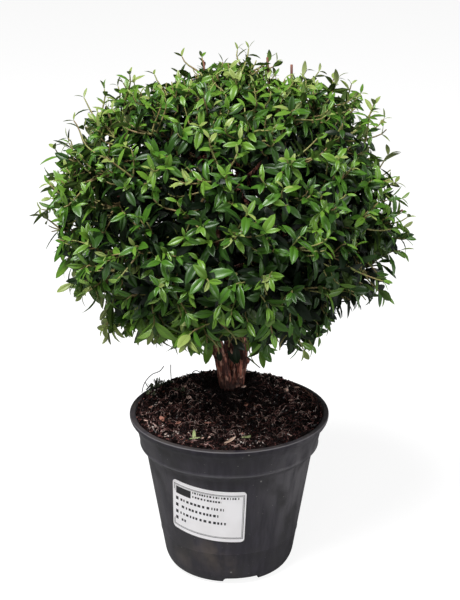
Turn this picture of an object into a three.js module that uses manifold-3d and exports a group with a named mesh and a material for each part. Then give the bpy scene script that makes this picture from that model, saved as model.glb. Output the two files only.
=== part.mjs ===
// A small-leaved evergreen shrub grown as a low standard in a round nursery pot and clipped to a dome.
// Millimetres, +Z up. The origin is the middle of the pot's flat underside, and the label faces -Y.
//
// The pot is a stepped plastic one with three drainage channels under its floor, filled with potting soil.
// A short trunk stands on the soil and forks into three stems, which end where they enter the crown. The
// crown is one clipped mass: a dense core, hollow underneath, with leafy twigs standing out of it. Its own
// stem carries on from the tip of the middle one.

import * as THREE from "three";
import { mergeVertices } from "three/addons/utils/BufferGeometryUtils.js";
import Module from "manifold-3d";

const { Manifold, Mesh: SolidMesh } = await Module().then((wasm) => {
  wasm.setup();
  return wasm;
});

// ---------------------------------------------------------------- driving dimensions

const GAP = 0.3; // between solids that touch on the real plant
const FINEST = 0.01; // smaller steps that the joins leave are smoothed away

const POT = {
  height: 125,
  lipRadius: 76,
  lipThickness: 2.8,
  mouthRadius: 71.6,
  bandTopRadius: 71.3,
  bandBottomRadius: 67.2,
  bandBottomZ: 103,
  bodyTopRadius: 63.3,
  bodyTopZ: 96,
  bodyFootRadius: 49.3,
  bodyFootZ: 8.5,
  soleRadius: 41.5,
  wall: 1.8,
  floorZ: 8,
  sides: 40,
};

const CHANNELS = { count: 3, width: 28, depth: 6.2, from: 20, firstDeg: -78, holeRadius: 4.5, holeAt: 33 };

// The label is stuck on a little crooked.
const LABEL = { width: 58.4, height: 45.6, thickness: 0.4, corner: 3, centreZ: 64.9, centreDeg: -106.6, crookedDeg: -5 };

const SOIL = { edgeZ: 123.4, edgeRadius: 69.6, sectors: 40, rings: 6, moundSpread: 40, lump: 1.1 };

const TRUNK = {
  x: 1.5,
  y: 36.5,
  groundZ: 129,
  forkZ: 151,
  flareRadius: 8.6,
  neckRadius: 7.6,
  levelRadius: 15, // of the soil round its foot
};

const CROWN = { x: -8, y: 12, z: 280, lean: 0.07, reach: 134, rise: 117, drop: 97, square: 2.3 };

// How far the shears left the crown, as shares of an even dome, every 10 degrees round the outline that it
// shows to someone who looks down on its front. They start from +X and go over the top.
const OUTLINE = [
  0.99, 0.94, 0.915, 0.95, 0.96, 0.92, 0.92, 0.885, 0.945, 0.975, 0.945, 0.91,
  0.855, 0.925, 0.96, 0.91, 1.02, 0.94, 0.97, 0.96, 0.93, 0.98, 0.87, 1,
  0.9, 0.885, 0.945, 0.99, 1, 1.03, 1.07, 1.035, 0.96, 1.08, 1.01, 0.99,
];
const LOOK_DOWN = (19.6 * Math.PI) / 180;

const CORE = { share: 0.83, lump: 0.05, around: 26, down: 17 };

const HOLLOW = { footRadius: 52, shoulderRadius: 46, shoulderZ: -6, neckRadius: 28, neckZ: 24, topZ: 38 };

// A stem's foot is seen from the trunk's middle and its tip from the crown's. Its radii are at the start
// and at the tip. The middle stem ends at a share of its line, which runs on as the crown's own stem.
const STEMS = [
  {
    name: "stem_left",
    foot: [-0.4, -1.5],
    knee: [-6.3, 32.5, 159],
    waist: [-20, 27, 192],
    tip: [-50, 0, -18],
    radii: [6.4, 3],
  },
  {
    name: "stem_right",
    foot: [0.8, -0.5],
    knee: [9, 34.5, 157],
    waist: [9, 29, 182],
    tip: [50, 0, -18],
    radii: [5.9, 2.9],
  },
  {
    name: "stem_middle",
    foot: [0, 3],
    knee: [1, 43, 155],
    waist: [-6, 33, 205],
    tip: [0, 0, 46],
    radii: [5.2, 2.4],
    ends: 0.84,
  },
];
const STEM_SIDES = 8;
const STEM_STEPS = 12;

// The growth rule: each level's tips are spread evenly over a shell of the crown, and each one grows from
// the nearest tip of the level before it. The first level grows from the crown's own stem.
const LEVELS = [
  { count: 10, share: 0.56, spread: 0.05, radius: 2.2, seed: 5 },
  { count: 56, share: 0.68, spread: 0.05, radius: 1.6, seed: 11 },
  { count: 132, share: 0.92, spread: 0.03, radius: 1.2, seed: 23 },
];
const LOWEST_DIR = -0.93; // no twig points straight down, where the stems come in

// Leaves stand in pairs across each of the last twigs, every pair a quarter turn on, and one more ends it.
// A leaf's width, thickness, fold and droop are shares of its length.
const LEAF = { length: 33, width: 0.42, thickness: 0.035, fold: 0.07, droop: 0.06, openDeg: 58, seed: 35 };
const WIDEST_AT = 0.46; // share of the length from root to tip
const PAIRS_AT = [0.72, 0.92]; // where the pairs sit along the twig
const SUNK = 0.25; // how far a leaf's root is sunk past the twig's middle, in twig radii
const REACH_SHARE = 1.045; // the furthest that a leaf may stand out of the clipped surface
const SHORTER = [1, 0.85, 0.7, 0.55]; // a leaf that stands out too far is tried shorter

// ---------------------------------------------------------------- small helpers

const vector = (x, y, z) => new THREE.Vector3(x, y, z);
const radians = THREE.MathUtils.degToRad;

// The same numbers in the same order for the same seed.
function seeded(seed) {
  let state = seed >>> 0;
  return () => {
    state = (state + 0x6d2b79f5) >>> 0;
    let t = state;
    t = Math.imul(t ^ (t >>> 15), t | 1);
    t ^= t + Math.imul(t ^ (t >>> 7), t | 61);
    return ((t ^ (t >>> 14)) >>> 0) / 4294967296;
  };
}

function geometryOf(points, faces) {
  const places = points.flatMap((point) => point.toArray());
  const geometry = new THREE.BufferGeometry();
  geometry.setAttribute("position", new THREE.Float32BufferAttribute(places, 3));
  geometry.setIndex(faces.flat());
  return geometry;
}

function solidOf(geometry) {
  const bare = geometry.clone();
  bare.deleteAttribute("normal");
  bare.deleteAttribute("uv");
  const merged = mergeVertices(bare, 1e-4);
  return new Manifold(
    new SolidMesh({
      numProp: 3,
      vertProperties: new Float32Array(merged.attributes.position.array),
      triVerts: new Uint32Array(merged.index.array),
    }),
  );
}

function geometryFrom(solid) {
  const mesh = solid.getMesh();
  const geometry = new THREE.BufferGeometry();
  geometry.setAttribute("position", new THREE.Float32BufferAttribute(mesh.vertProperties, 3));
  geometry.setIndex(new THREE.BufferAttribute(mesh.triVerts, 1));
  return geometry;
}

// Fused pieces can seal small voids and leave loose scraps: the largest shell is the piece without them.
function largest(solid) {
  return solid.decompose().reduce((best, part) => (part.volume() > best.volume() ? part : best));
}

// A closed profile of [radius, z] pairs turned round +Z.
function turned(profile, sides) {
  const outline = profile.map(([r, z]) => new THREE.Vector2(r, z));
  return new THREE.LatheGeometry(outline, sides).rotateX(Math.PI / 2);
}

const material = (color, roughness, metalness = 0) =>
  new THREE.MeshStandardMaterial({ color, roughness, metalness, flatShading: true });

const MATERIALS = {
  plastic: material(0x3b3a3d, 0.55),
  paper: material(0xe4e1e3, 0.6),
  soil: material(0x271a17, 0.95),
  bark: material(0x6f4636, 0.85),
  foliage: material(0x2f5b1f, 0.45),
};

const plant = new THREE.Group();
function addNode(name, geometry, kind) {
  const mesh = new THREE.Mesh(geometry, MATERIALS[kind]);
  mesh.name = name;
  plant.add(mesh);
}

// ---------------------------------------------------------------- pot, label and soil

const bodySlope = (POT.bodyTopRadius - POT.bodyFootRadius) / (POT.bodyTopZ - POT.bodyFootZ);
const bodyRadiusAt = (z) => POT.bodyFootRadius + (z - POT.bodyFootZ) * bodySlope;

// The inside of the pot from the floor up to the mouth, moved in by an extra clearance.
function innerProfile(clearance) {
  const { wall, floorZ } = POT;
  return [
    [POT.soleRadius - clearance, floorZ + clearance],
    [bodyRadiusAt(floorZ + 4) - wall - clearance, floorZ + 4],
    [POT.bodyTopRadius - wall - clearance, POT.bodyTopZ],
    [POT.bandBottomRadius - wall - clearance, POT.bandBottomZ],
  ];
}

function makePot() {
  const { height, lipRadius, lipThickness, mouthRadius, wall } = POT;
  const edge = 0.8; // the lip's rounded edges
  const profile = [
    [0, 0],
    [POT.soleRadius, 0],
    [POT.soleRadius + 4.8, 2.6],
    [POT.bodyFootRadius, POT.bodyFootZ],
    [POT.bodyTopRadius, POT.bodyTopZ],
    [POT.bandBottomRadius - 0.6, POT.bandBottomZ - 3],
    [POT.bandBottomRadius, POT.bandBottomZ],
    [POT.bandTopRadius, height - lipThickness],
    [lipRadius - edge, height - lipThickness],
    [lipRadius, height - lipThickness + edge],
    [lipRadius, height - edge],
    [lipRadius - edge, height],
    [mouthRadius, height],
    [POT.bandTopRadius - wall, height - lipThickness - 1],
    ...innerProfile(0).reverse(),
    [0, POT.floorZ],
  ];
  let pot = solidOf(turned(profile, POT.sides));

  const length = POT.lipRadius - CHANNELS.from;
  for (let i = 0; i < CHANNELS.count; i++) {
    const turn = radians(CHANNELS.firstDeg + (i * 360) / CHANNELS.count);
    const channel = new THREE.BoxGeometry(length, CHANNELS.width, CHANNELS.depth * 2)
      .translate(CHANNELS.from + length / 2, 0, 0)
      .rotateZ(turn);
    const hole = new THREE.CylinderGeometry(CHANNELS.holeRadius, CHANNELS.holeRadius, POT.floorZ * 4, 12)
      .rotateX(Math.PI / 2)
      .translate(CHANNELS.holeAt, 0, 0)
      .rotateZ(turn);
    pot = pot.subtract(solidOf(channel)).subtract(solidOf(hole));
  }
  addNode("pot", geometryFrom(pot), "plastic");
}

// A printed paper label, bent round the pot's body: columns across it, cut short at its rounded corners.
function makeLabel() {
  const { width, height, thickness, corner } = LABEL;
  const half = width / 2;
  const columns = [0, 0.15, 0.5, 1].map((s) => -half + corner * s);
  const inner = width - corner * 2;
  for (let i = 1; i < 12; i++) columns.push(-half + corner + (inner * i) / 12);
  columns.push(...[1, 0.5, 0.15, 0].map((s) => half - corner * s));

  const tilt = Math.atan(bodySlope);
  const slant = bodyRadiusAt(LABEL.centreZ) / Math.sin(tilt); // from the tip of the body's cone
  const crooked = radians(LABEL.crookedDeg);
  const points = [];
  for (const u of columns) {
    const past = Math.max(0, Math.abs(u) - (half - corner));
    const reach = height / 2 - corner + Math.sqrt(corner ** 2 - past ** 2);
    for (const [v, out] of [[-reach, 0], [reach, 0], [reach, thickness], [-reach, thickness]]) {
      const across = u * Math.cos(crooked) - v * Math.sin(crooked);
      const fromTip = slant + u * Math.sin(crooked) + v * Math.cos(crooked);
      const away = Math.hypot(across, fromTip);
      const turn = radians(LABEL.centreDeg) + Math.atan2(across, fromTip) / Math.sin(tilt);
      const radius = away * Math.sin(tilt) + GAP + out;
      const z = LABEL.centreZ + (away - slant) * Math.cos(tilt);
      points.push(vector(Math.cos(turn) * radius, Math.sin(turn) * radius, z));
    }
  }
  const faces = [[0, 2, 1], [0, 3, 2]];
  for (let i = 0; i + 1 < columns.length; i++) {
    for (let k = 0; k < 4; k++) {
      const [a, b] = [i * 4 + k, i * 4 + ((k + 1) % 4)];
      faces.push([a, b, b + 4], [a, b + 4, a + 4]);
    }
  }
  const end = (columns.length - 1) * 4;
  faces.push([end, end + 1, end + 2], [end, end + 2, end + 3]);
  addNode("label", geometryOf(points, faces), "paper");
}

// The soil's surface: a low mound round the trunk, level under its foot, with small lumps elsewhere.
function soilHeightAt(x, y) {
  const away = Math.hypot(x - TRUNK.x, y - TRUNK.y);
  const level = TRUNK.groundZ - GAP;
  if (away < TRUNK.levelRadius) return level;
  const spread = Math.exp(-(((away - TRUNK.levelRadius) / SOIL.moundSpread) ** 2));
  const lumps = Math.sin(x * 0.31 + 1.3) * Math.cos(y * 0.27 - 0.4) + Math.sin(x * 0.17 - y * 0.41);
  return SOIL.edgeZ + (level - SOIL.edgeZ) * spread + (SOIL.lump * lumps * (1 - spread)) / 2;
}

function makeSoil() {
  const rings = [];
  for (let i = 0; i < SOIL.rings; i++) rings.push([SOIL.edgeRadius * (1 - i / SOIL.rings), SOIL.edgeZ]);
  const bed = innerProfile(GAP);
  const profile = [[0, bed[0][1]], ...bed, ...rings, [0, SOIL.edgeZ]];
  const geometry = turned(profile, SOIL.sectors);
  const place = geometry.attributes.position;
  for (let i = 0; i < place.count; i++) {
    const onTop = Math.abs(place.getZ(i) - SOIL.edgeZ) < 0.01;
    if (onTop) place.setZ(i, soilHeightAt(place.getX(i), place.getY(i)));
  }
  addNode("potting_soil", geometryFrom(solidOf(geometry)), "soil");
}

// ---------------------------------------------------------------- trunk and stems

const crownMiddle = vector(CROWN.x, CROWN.y, CROWN.z);
const SAMPLES = 48; // along a stem, for measuring how far off it a point is

// A stem is a curve with a radius that falls along it.
class Stem {
  constructor({ name, foot, knee, waist, tip, radii, ends = 1 }) {
    const below = 12; // its line is drawn from under the ground, and cut level with it
    const start = vector(TRUNK.x + foot[0], TRUNK.y + foot[1], TRUNK.groundZ - below);
    const points = [start, vector(...knee), vector(...waist), vector(...tip).add(crownMiddle)];
    this.name = name;
    this.ends = ends;
    this.radii = radii;
    this.curve = new THREE.CatmullRomCurve3(points, false, "centripetal");
    this.samples = this.curve.getSpacedPoints(SAMPLES);
  }

  radiusAt(t) {
    return this.radii[0] + (this.radii[1] - this.radii[0]) * t ** 0.8;
  }

  // The stretch of the stem from share a to share b of its line, made thicker by extra.
  solid(a, b, extra = 0) {
    const points = [];
    const steps = Math.max(3, Math.round(STEM_STEPS * (b - a)));
    for (let i = 0; i <= steps; i++) {
      const share = a + ((b - a) * i) / steps;
      const centre = this.curve.getPointAt(share);
      const along = this.curve.getTangentAt(share);
      const side = vector(1, 0, 0).cross(along).normalize();
      const front = along.clone().cross(side);
      const radius = this.radiusAt(share) + extra;
      for (let k = 0; k < STEM_SIDES; k++) {
        const turn = (k * 2 * Math.PI) / STEM_SIDES;
        const offset = side.clone().multiplyScalar(Math.sin(turn)).addScaledVector(front, -Math.cos(turn));
        points.push(centre.clone().addScaledVector(offset, radius));
      }
    }
    const faces = [];
    const last = steps * STEM_SIDES;
    for (let k = 0; k < STEM_SIDES; k++) {
      const next = (k + 1) % STEM_SIDES;
      for (let i = 0; i < last; i += STEM_SIDES) {
        const above = i + STEM_SIDES;
        faces.push([i + k, i + next, above + next], [i + k, above + next, above + k]);
      }
      if (k > 1) faces.push([0, k, k - 1], [last, last + k - 1, last + k]);
    }
    return solidOf(geometryOf(points, faces));
  }

  // The share of the stem's line at which it passes a height.
  shareAtHeight(z) {
    let [low, high] = [0, 1];
    for (let i = 0; i < 30; i++) {
      const mid = (low + high) / 2;
      if (this.curve.getPointAt(mid).z < z) low = mid;
      else high = mid;
    }
    return low;
  }

  // How far off the stem's bark a point is.
  distanceTo(point) {
    const within = this.samples.slice(0, Math.ceil(SAMPLES * this.ends) + 1);
    return Math.min(...within.map((sample, i) => sample.distanceTo(point) - this.radiusAt(i / SAMPLES)));
  }
}

const stems = STEMS.map((row) => new Stem(row));

// The trunk: the feet of the three stems grown into one butt, cut level at the ground.
function makeTrunk() {
  const { groundZ, flareRadius, neckRadius, forkZ } = TRUNK;
  const profile = [
    [0, groundZ - 6],
    [flareRadius, groundZ - 6],
    [flareRadius, groundZ],
    [neckRadius, groundZ + 4.5],
    [neckRadius * 0.85, groundZ + 11],
    [0, groundZ + 16],
  ];
  const butt = solidOf(turned(profile, STEM_SIDES * 2).translate(TRUNK.x, TRUNK.y, 0));
  const feet = stems.map((stem) => stem.solid(0, stem.shareAtHeight(forkZ)));
  const trunk = Manifold.union([butt, ...feet]).trimByPlane([0, 0, 1], groundZ);
  addNode("trunk", geometryFrom(largest(trunk)), "bark");
}

function makeStems() {
  for (const stem of stems) {
    const start = stem.shareAtHeight(TRUNK.forkZ) + GAP / stem.curve.getLength();
    addNode(stem.name, geometryFrom(stem.solid(start, stem.ends)), "bark");
  }
}

// ---------------------------------------------------------------- the crown

// How far the clipped surface is from the crown's middle in a direction, before the crown leans.
function surfaceDistance(direction) {
  const height = direction.z >= 0 ? CROWN.rise : CROWN.drop;
  const across = Math.hypot(direction.x, direction.y) / CROWN.reach;
  const up = Math.abs(direction.z) / height;
  const even = (across ** CROWN.square + up ** CROWN.square) ** (-1 / CROWN.square);
  const tall = direction.z * Math.cos(LOOK_DOWN) + direction.y * Math.sin(LOOK_DOWN);
  const toward = direction.y * Math.cos(LOOK_DOWN) - direction.z * Math.sin(LOOK_DOWN);
  const turn = (Math.atan2(tall, direction.x) / (2 * Math.PI) + 1) * OUTLINE.length;
  const part = turn - Math.floor(turn);
  const [low, high] = [0, 1].map((step) => OUTLINE[(Math.floor(turn) + step) % OUTLINE.length]);
  const cut = low + (high - low) * part;
  return even * (1 + (cut - 1) * (1 - toward ** 2));
}

const leanAt = (height) => vector(height * CROWN.lean, 0, 0);

// A point in a direction from the crown's middle, at a share of the way to the clipped surface.
function crownPoint(direction, share) {
  const offset = direction.clone().multiplyScalar(surfaceDistance(direction) * share);
  return crownMiddle.clone().add(offset).add(leanAt(offset.z));
}

// How far out a point lies, as a share of the way from the crown's middle to the clipped surface.
function shareOf(point) {
  const offset = point.clone().sub(crownMiddle).sub(leanAt(point.z - CROWN.z));
  return offset.length() / surfaceDistance(offset.clone().normalize());
}

// Directions spread evenly over the ball on a golden spiral, each nudged a little.
function spreadTips({ count, share, spread, seed }) {
  const random = seeded(seed);
  const golden = Math.PI * (3 - Math.sqrt(5));
  const tips = [];
  for (let i = 0; i < count; i++) {
    const z = 1 - (2 * i + 1) / count;
    const turn = i * golden;
    const flat = Math.sqrt(1 - z * z);
    const nudge = vector(random() - 0.5, random() - 0.5, random() - 0.5).multiplyScalar(spread * 4);
    const direction = vector(Math.cos(turn) * flat, Math.sin(turn) * flat, z).add(nudge).normalize();
    const ownShare = share * (1 + (random() - 0.5) * 2 * spread);
    if (direction.z > LOWEST_DIR) tips.push(crownPoint(direction, ownShare));
  }
  return tips;
}

const clearOfStems = (point, clearance) => stems.every((stem) => stem.distanceTo(point) > clearance);

// The crown's twigs by the growth rule, from its stem outwards: [{ from, to, radius, last }].
function growTwigs(root) {
  let parents = [root];
  const twigs = [];
  for (const level of LEVELS) {
    const tips = spreadTips(level).filter((to) => {
      const from = parents.reduce((a, b) => (b.distanceTo(to) < a.distanceTo(to) ? b : a));
      const along = [0.25, 0.5, 0.75, 1].map((share) => from.clone().lerp(to, share));
      const clear = along.every((point) => clearOfStems(point, level.radius * 2));
      if (clear) twigs.push({ from, to, radius: level.radius, last: level === LEVELS.at(-1) });
      return clear;
    });
    parents = tips;
  }
  return twigs;
}

// A tapering three-sided twig.
function twigSolid({ from, to, radius }) {
  const along = to.clone().sub(from).normalize();
  const side = along.clone().cross(Math.abs(along.z) < 0.9 ? vector(0, 0, 1) : vector(1, 0, 0)).normalize();
  const front = along.clone().cross(side);
  const points = [];
  for (const [centre, thick] of [[from, radius * 1.3], [to, radius * 0.8]]) {
    for (let k = 0; k < 3; k++) {
      const turn = (k * 2 * Math.PI) / 3;
      const offset = side.clone().multiplyScalar(Math.cos(turn)).addScaledVector(front, Math.sin(turn));
      points.push(centre.clone().addScaledVector(offset, thick));
    }
  }
  const faces = [[0, 2, 1], [3, 4, 5]];
  for (let k = 0; k < 3; k++) {
    const next = (k + 1) % 3;
    faces.push([k, next, next + 3], [k, next + 3, k + 3]);
  }
  return solidOf(geometryOf(points, faces));
}

// A leaf of eight faces: root, tip, two edges lifted into a shallow fold, and the midrib above and below.
const LEAF_FACES = [[0, 2, 4], [0, 4, 3], [1, 4, 2], [1, 3, 4], [0, 5, 2], [0, 3, 5], [1, 2, 5], [1, 5, 3]];
function leafPoints(root, along, upward, length) {
  const side = along.clone().cross(upward).normalize();
  const face = side.clone().cross(along);
  const { width, thickness, fold, droop } = LEAF;
  const shape = [
    [0, 0, 0],
    [1, 0, -droop],
    [WIDEST_AT, width / 2, fold],
    [WIDEST_AT, -width / 2, fold],
    [WIDEST_AT, 0, thickness / 2],
    [WIDEST_AT, 0, -thickness / 2],
  ];
  return shape.map(([forward, across, up]) =>
    root
      .clone()
      .addScaledVector(along, forward * length)
      .addScaledVector(side, across * length)
      .addScaledVector(face, up * length),
  );
}

// A leaf stays if it stands between the core and the crown's furthest reach, and off every stem.
function leafFits(points) {
  return points.slice(1).every((point) => {
    const share = shareOf(point);
    return share > CORE.share * (1 + CORE.lump) && share < REACH_SHARE && clearOfStems(point, 1);
  });
}

function crosses(one, other) {
  const [a, b] = [one.boundingBox(), other.boundingBox()];
  const near = [0, 1, 2].every((axis) => a.min[axis] < b.max[axis] && b.min[axis] < a.max[axis]);
  return near && !one.intersect(other).isEmpty();
}

// Leaves on the last twigs. None passes through another.
function growLeaves(twigs) {
  const random = seeded(LEAF.seed);
  const open = radians(LEAF.openDeg);
  const leaves = [];
  for (const { from, to, radius } of twigs.filter((twig) => twig.last)) {
    const along = to.clone().sub(from).normalize();
    const across = along.clone().cross(vector(0, 0, 1)).normalize();
    across.applyAxisAngle(along, random() * Math.PI);
    const places = PAIRS_AT.flatMap((share, pair) => {
      const hinge = across.clone().applyAxisAngle(along, (pair * Math.PI) / 2);
      return [open, -open].map((angle) => ({
        at: from.clone().lerp(to, share),
        direction: along.clone().applyAxisAngle(hinge, angle),
        upward: along,
      }));
    });
    places.push({ at: to, direction: along, upward: across });
    for (const { at, direction, upward } of places) {
      const length = LEAF.length * (0.85 + random() * 0.3);
      const root = at.clone().addScaledVector(direction, -SUNK * radius);
      const tries = SHORTER.map((share) => leafPoints(root, direction, upward, length * share));
      const fitting = tries.filter(leafFits).map((shape) => solidOf(geometryOf(shape, LEAF_FACES)));
      const leaf = fitting.find((solid) => leaves.every((other) => !crosses(solid, other)));
      if (leaf) leaves.push(leaf);
    }
  }
  return leaves;
}

// The dome inside the leaves, slightly lumpy.
function makeDome() {
  const geometry = new THREE.SphereGeometry(1, CORE.around, CORE.down).rotateX(Math.PI / 2);
  const place = geometry.attributes.position;
  for (let i = 0; i < place.count; i++) {
    const direction = vector(place.getX(i), place.getY(i), place.getZ(i)).normalize();
    const { x, y, z } = direction;
    const lumps = Math.sin(x * 13 + 1) * Math.cos(y * 12) + Math.sin(z * 11 + x * 5) / 2;
    const point = crownPoint(direction, CORE.share * (1 + CORE.lump * lumps));
    place.setXYZ(i, point.x, point.y, point.z);
  }
  return solidOf(geometry);
}

// The open space under the dome where the stems come in.
function makeHollow() {
  const below = -CROWN.drop * 1.2;
  const profile = [
    [0, below],
    [HOLLOW.footRadius, below],
    [HOLLOW.shoulderRadius, HOLLOW.shoulderZ],
    [HOLLOW.neckRadius, HOLLOW.neckZ],
    [0, HOLLOW.topZ],
  ];
  return solidOf(turned(profile, 16).translate(CROWN.x, CROWN.y, CROWN.z));
}

function makeCrown() {
  const sockets = stems.map((stem) => stem.solid(0.5, stem.ends, GAP));
  const core = Manifold.difference([makeDome(), makeHollow(), ...sockets]);
  const bearer = stems.find((stem) => stem.ends < 1);
  const ownStem = bearer.solid(bearer.ends + GAP / bearer.curve.getLength(), 1);
  const twigs = growTwigs(bearer.curve.getPointAt(1));
  const crown = Manifold.union([core, ownStem, ...twigs.map(twigSolid), ...growLeaves(twigs)]);
  addNode("crown", geometryFrom(largest(crown).simplify(FINEST)), "foliage");
}

makePot();
makeLabel();
makeSoil();
makeTrunk();
makeStems();
makeCrown();

export default plant;
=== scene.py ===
# A small-leaved evergreen grown as a low standard in a black nursery pot and clipped to a dome.
# Metres, +Z up, the label faces -Y. The file follows the plant from its pot up to its last leaf,
# sticks the label on, and then sets up the table, the lamps and the camera.

import math

import bpy
import numpy as np
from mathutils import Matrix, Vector


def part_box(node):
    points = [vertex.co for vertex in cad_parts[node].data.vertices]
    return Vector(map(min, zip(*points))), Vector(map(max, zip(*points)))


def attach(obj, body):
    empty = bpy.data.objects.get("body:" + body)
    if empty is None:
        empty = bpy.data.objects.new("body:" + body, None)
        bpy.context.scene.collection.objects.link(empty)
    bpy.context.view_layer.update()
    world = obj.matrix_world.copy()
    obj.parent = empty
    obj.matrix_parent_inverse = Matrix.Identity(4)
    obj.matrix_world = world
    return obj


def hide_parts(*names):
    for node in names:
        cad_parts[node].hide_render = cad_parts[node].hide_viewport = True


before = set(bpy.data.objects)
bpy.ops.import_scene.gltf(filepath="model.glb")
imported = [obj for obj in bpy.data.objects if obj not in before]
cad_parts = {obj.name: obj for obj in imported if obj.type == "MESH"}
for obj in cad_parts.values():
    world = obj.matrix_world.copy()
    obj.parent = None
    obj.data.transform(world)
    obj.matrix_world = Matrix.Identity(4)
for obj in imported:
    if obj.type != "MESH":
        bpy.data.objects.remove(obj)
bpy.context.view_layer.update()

# ------------------------------------------------------------------------------------------------
# The nursery pot: thin black polypropylene, injection moulded in one piece, with a flat flange
# round its mouth, a wider band under it and three drainage channels under its floor.
# It stands on its floor, and everything else stands in it.

MM = 0.001
POT_SIDES = 160
pot_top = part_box("pot")[1]
pot_height = pot_top.z / MM
lip_radius = pot_top.x / MM
band_radii = (68.0, 71.3)  # at the band's foot and under the flange
band_foot = 103.0
body_radii = (49.6, 64.0)
body_heights = (8.5, 96.0)
sole_radius = 41.5
floor_height = 8.0
wall = 1.8
body_slope = (body_radii[1] - body_radii[0]) / (body_heights[1] - body_heights[0])


def body_radius_at(height):
    return body_radii[0] + (height - body_heights[0]) * body_slope


def rounded(profile):
    """A profile of (radius, height, corner) rows with each corner turned into a small curve."""
    steps, most = 4, 0.48
    made = []
    for i, (r, z, corner) in enumerate(profile):
        here = np.array((r, z))
        if not corner:
            made.append(here)
            continue
        before = np.array(profile[i - 1][:2]) - here
        after = np.array(profile[i + 1][:2]) - here
        start = here + before * min(most, corner / np.linalg.norm(before))
        end = here + after * min(most, corner / np.linalg.norm(after))
        for t in np.linspace(0, 1, steps + 1):
            made.append((1 - t) ** 2 * start + 2 * t * (1 - t) * here + t * t * end)
    return np.array(made)


def ring_faces(rings, sides):
    """Four-cornered faces between rings of points that lie one after the other."""
    k = np.arange(sides)
    after = (k + 1) % sides
    first = np.stack([k, k + sides, after + sides, after], 1)
    return (first + sides * np.arange(rings - 1)[:, None, None]).reshape(-1, 4)


def turned(profile, sides):
    """Points and faces of a profile turned round the Z axis. It starts and ends on the axis."""
    turn = np.arange(sides) * 2 * math.pi / sides
    rings = profile[1:-1]
    radius, height = rings[:, :1], rings[:, 1:]
    points = np.stack([radius * np.cos(turn), radius * np.sin(turn), np.tile(height, sides)], -1)
    points = points.reshape(-1, 3)
    first, last = len(points), len(points) + 1
    points = np.vstack([points, (0, 0, profile[0, 1]), (0, 0, profile[-1, 1])])
    k = np.arange(sides)
    after = (k + 1) % sides
    top = (len(rings) - 1) * sides
    below = np.stack([after, k, np.full(sides, first)], 1)
    above = np.stack([top + k, top + after, np.full(sides, last)], 1)
    return points, [ring_faces(len(rings), sides)[:, (0, 3, 2, 1)], np.vstack([below, above])]


def make_piece(name, points, faces, material, smooth=True):
    """A Blender object in metres from points in millimetres and arrays of faces."""
    corners = np.concatenate([f.reshape(-1) for f in faces]).astype(np.int32)
    counts = np.concatenate([np.full(len(f), f.shape[1]) for f in faces])
    starts = np.concatenate([[0], np.cumsum(counts)[:-1]]).astype(np.int32)
    mesh = bpy.data.meshes.new(name)
    mesh.vertices.add(len(points))
    mesh.vertices.foreach_set("co", (np.asarray(points) * MM).astype(np.float32).reshape(-1))
    mesh.loops.add(len(corners))
    mesh.loops.foreach_set("vertex_index", corners)
    mesh.polygons.add(len(counts))
    mesh.polygons.foreach_set("loop_start", starts)
    mesh.update(calc_edges=True)
    mesh.validate()
    mesh.polygons.foreach_set("use_smooth", np.full(len(mesh.polygons), smooth))
    mesh.materials.append(material)
    piece = bpy.data.objects.new(name, mesh)
    bpy.context.scene.collection.objects.link(piece)
    return piece


def vertex_values(mesh, name):
    """An array of its places, "co", or of its outward directions, "normal"."""
    values = np.zeros((len(mesh.vertices), 3), np.float32)
    mesh.vertices.foreach_get(name, values.reshape(-1))
    return values


def apply_modifiers(piece):
    """Turns what the modifiers show into the piece's own mesh."""
    bpy.context.view_layer.update()
    shown = piece.evaluated_get(bpy.context.evaluated_depsgraph_get())
    piece.data = bpy.data.meshes.new_from_object(shown)
    piece.modifiers.clear()


def new_material(name, base, roughness):
    """A new material, its node tree and its shader."""
    material = bpy.data.materials.new(name)
    material.use_nodes = True
    shader = material.node_tree.nodes["Principled BSDF"]
    shader.inputs["Base Color"].default_value = (*base, 1)
    shader.inputs["Roughness"].default_value = roughness
    return material, material.node_tree, shader


def add_node(tree, kind, sources=(), **settings):
    """Adds a node, sets it up and feeds its first inputs with values or with other nodes' sockets."""
    node = tree.nodes.new(kind)
    for name, value in settings.items():
        setattr(node, name, value)
    for socket, source in zip(node.inputs, sources):
        if isinstance(source, bpy.types.NodeSocket):
            tree.links.new(source, socket)
        elif source is not None:
            socket.default_value = source
    return node


def make_mottle():
    """Node group: cloudy noise, stretched along any axis and cut to a soft-edged mask."""
    group = bpy.data.node_groups.new("mottle", "ShaderNodeTree")
    sockets = group.interface
    sockets.new_socket("Scale", in_out="INPUT", socket_type="NodeSocketVector")
    for name in ("Detail", "From", "To"):
        sockets.new_socket(name, in_out="INPUT", socket_type="NodeSocketFloat")
    sockets.new_socket("Mask", in_out="OUTPUT", socket_type="NodeSocketFloat")
    given = add_node(group, "NodeGroupInput").outputs
    place = add_node(group, "ShaderNodeTexCoord").outputs["Object"]
    stretched = add_node(group, "ShaderNodeVectorMath", (place, given["Scale"]), operation="MULTIPLY")
    cloudy = (stretched.outputs["Vector"], None, 1.0, given["Detail"])
    noise = add_node(group, "ShaderNodeTexNoise", cloudy).outputs["Fac"]
    limits = (noise, given["From"], given["To"])
    cut = add_node(group, "ShaderNodeMapRange", limits, interpolation_type="SMOOTHSTEP")
    add_node(group, "NodeGroupOutput", (cut.outputs["Result"],))
    return group


mottle_group = make_mottle()


def mottle(tree, scale, detail, cut):
    """One mottle in a material. Gives its mask socket."""
    return add_node(tree, "ShaderNodeGroup", (scale, detail, *cut), node_tree=mottle_group).outputs["Mask"]


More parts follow.
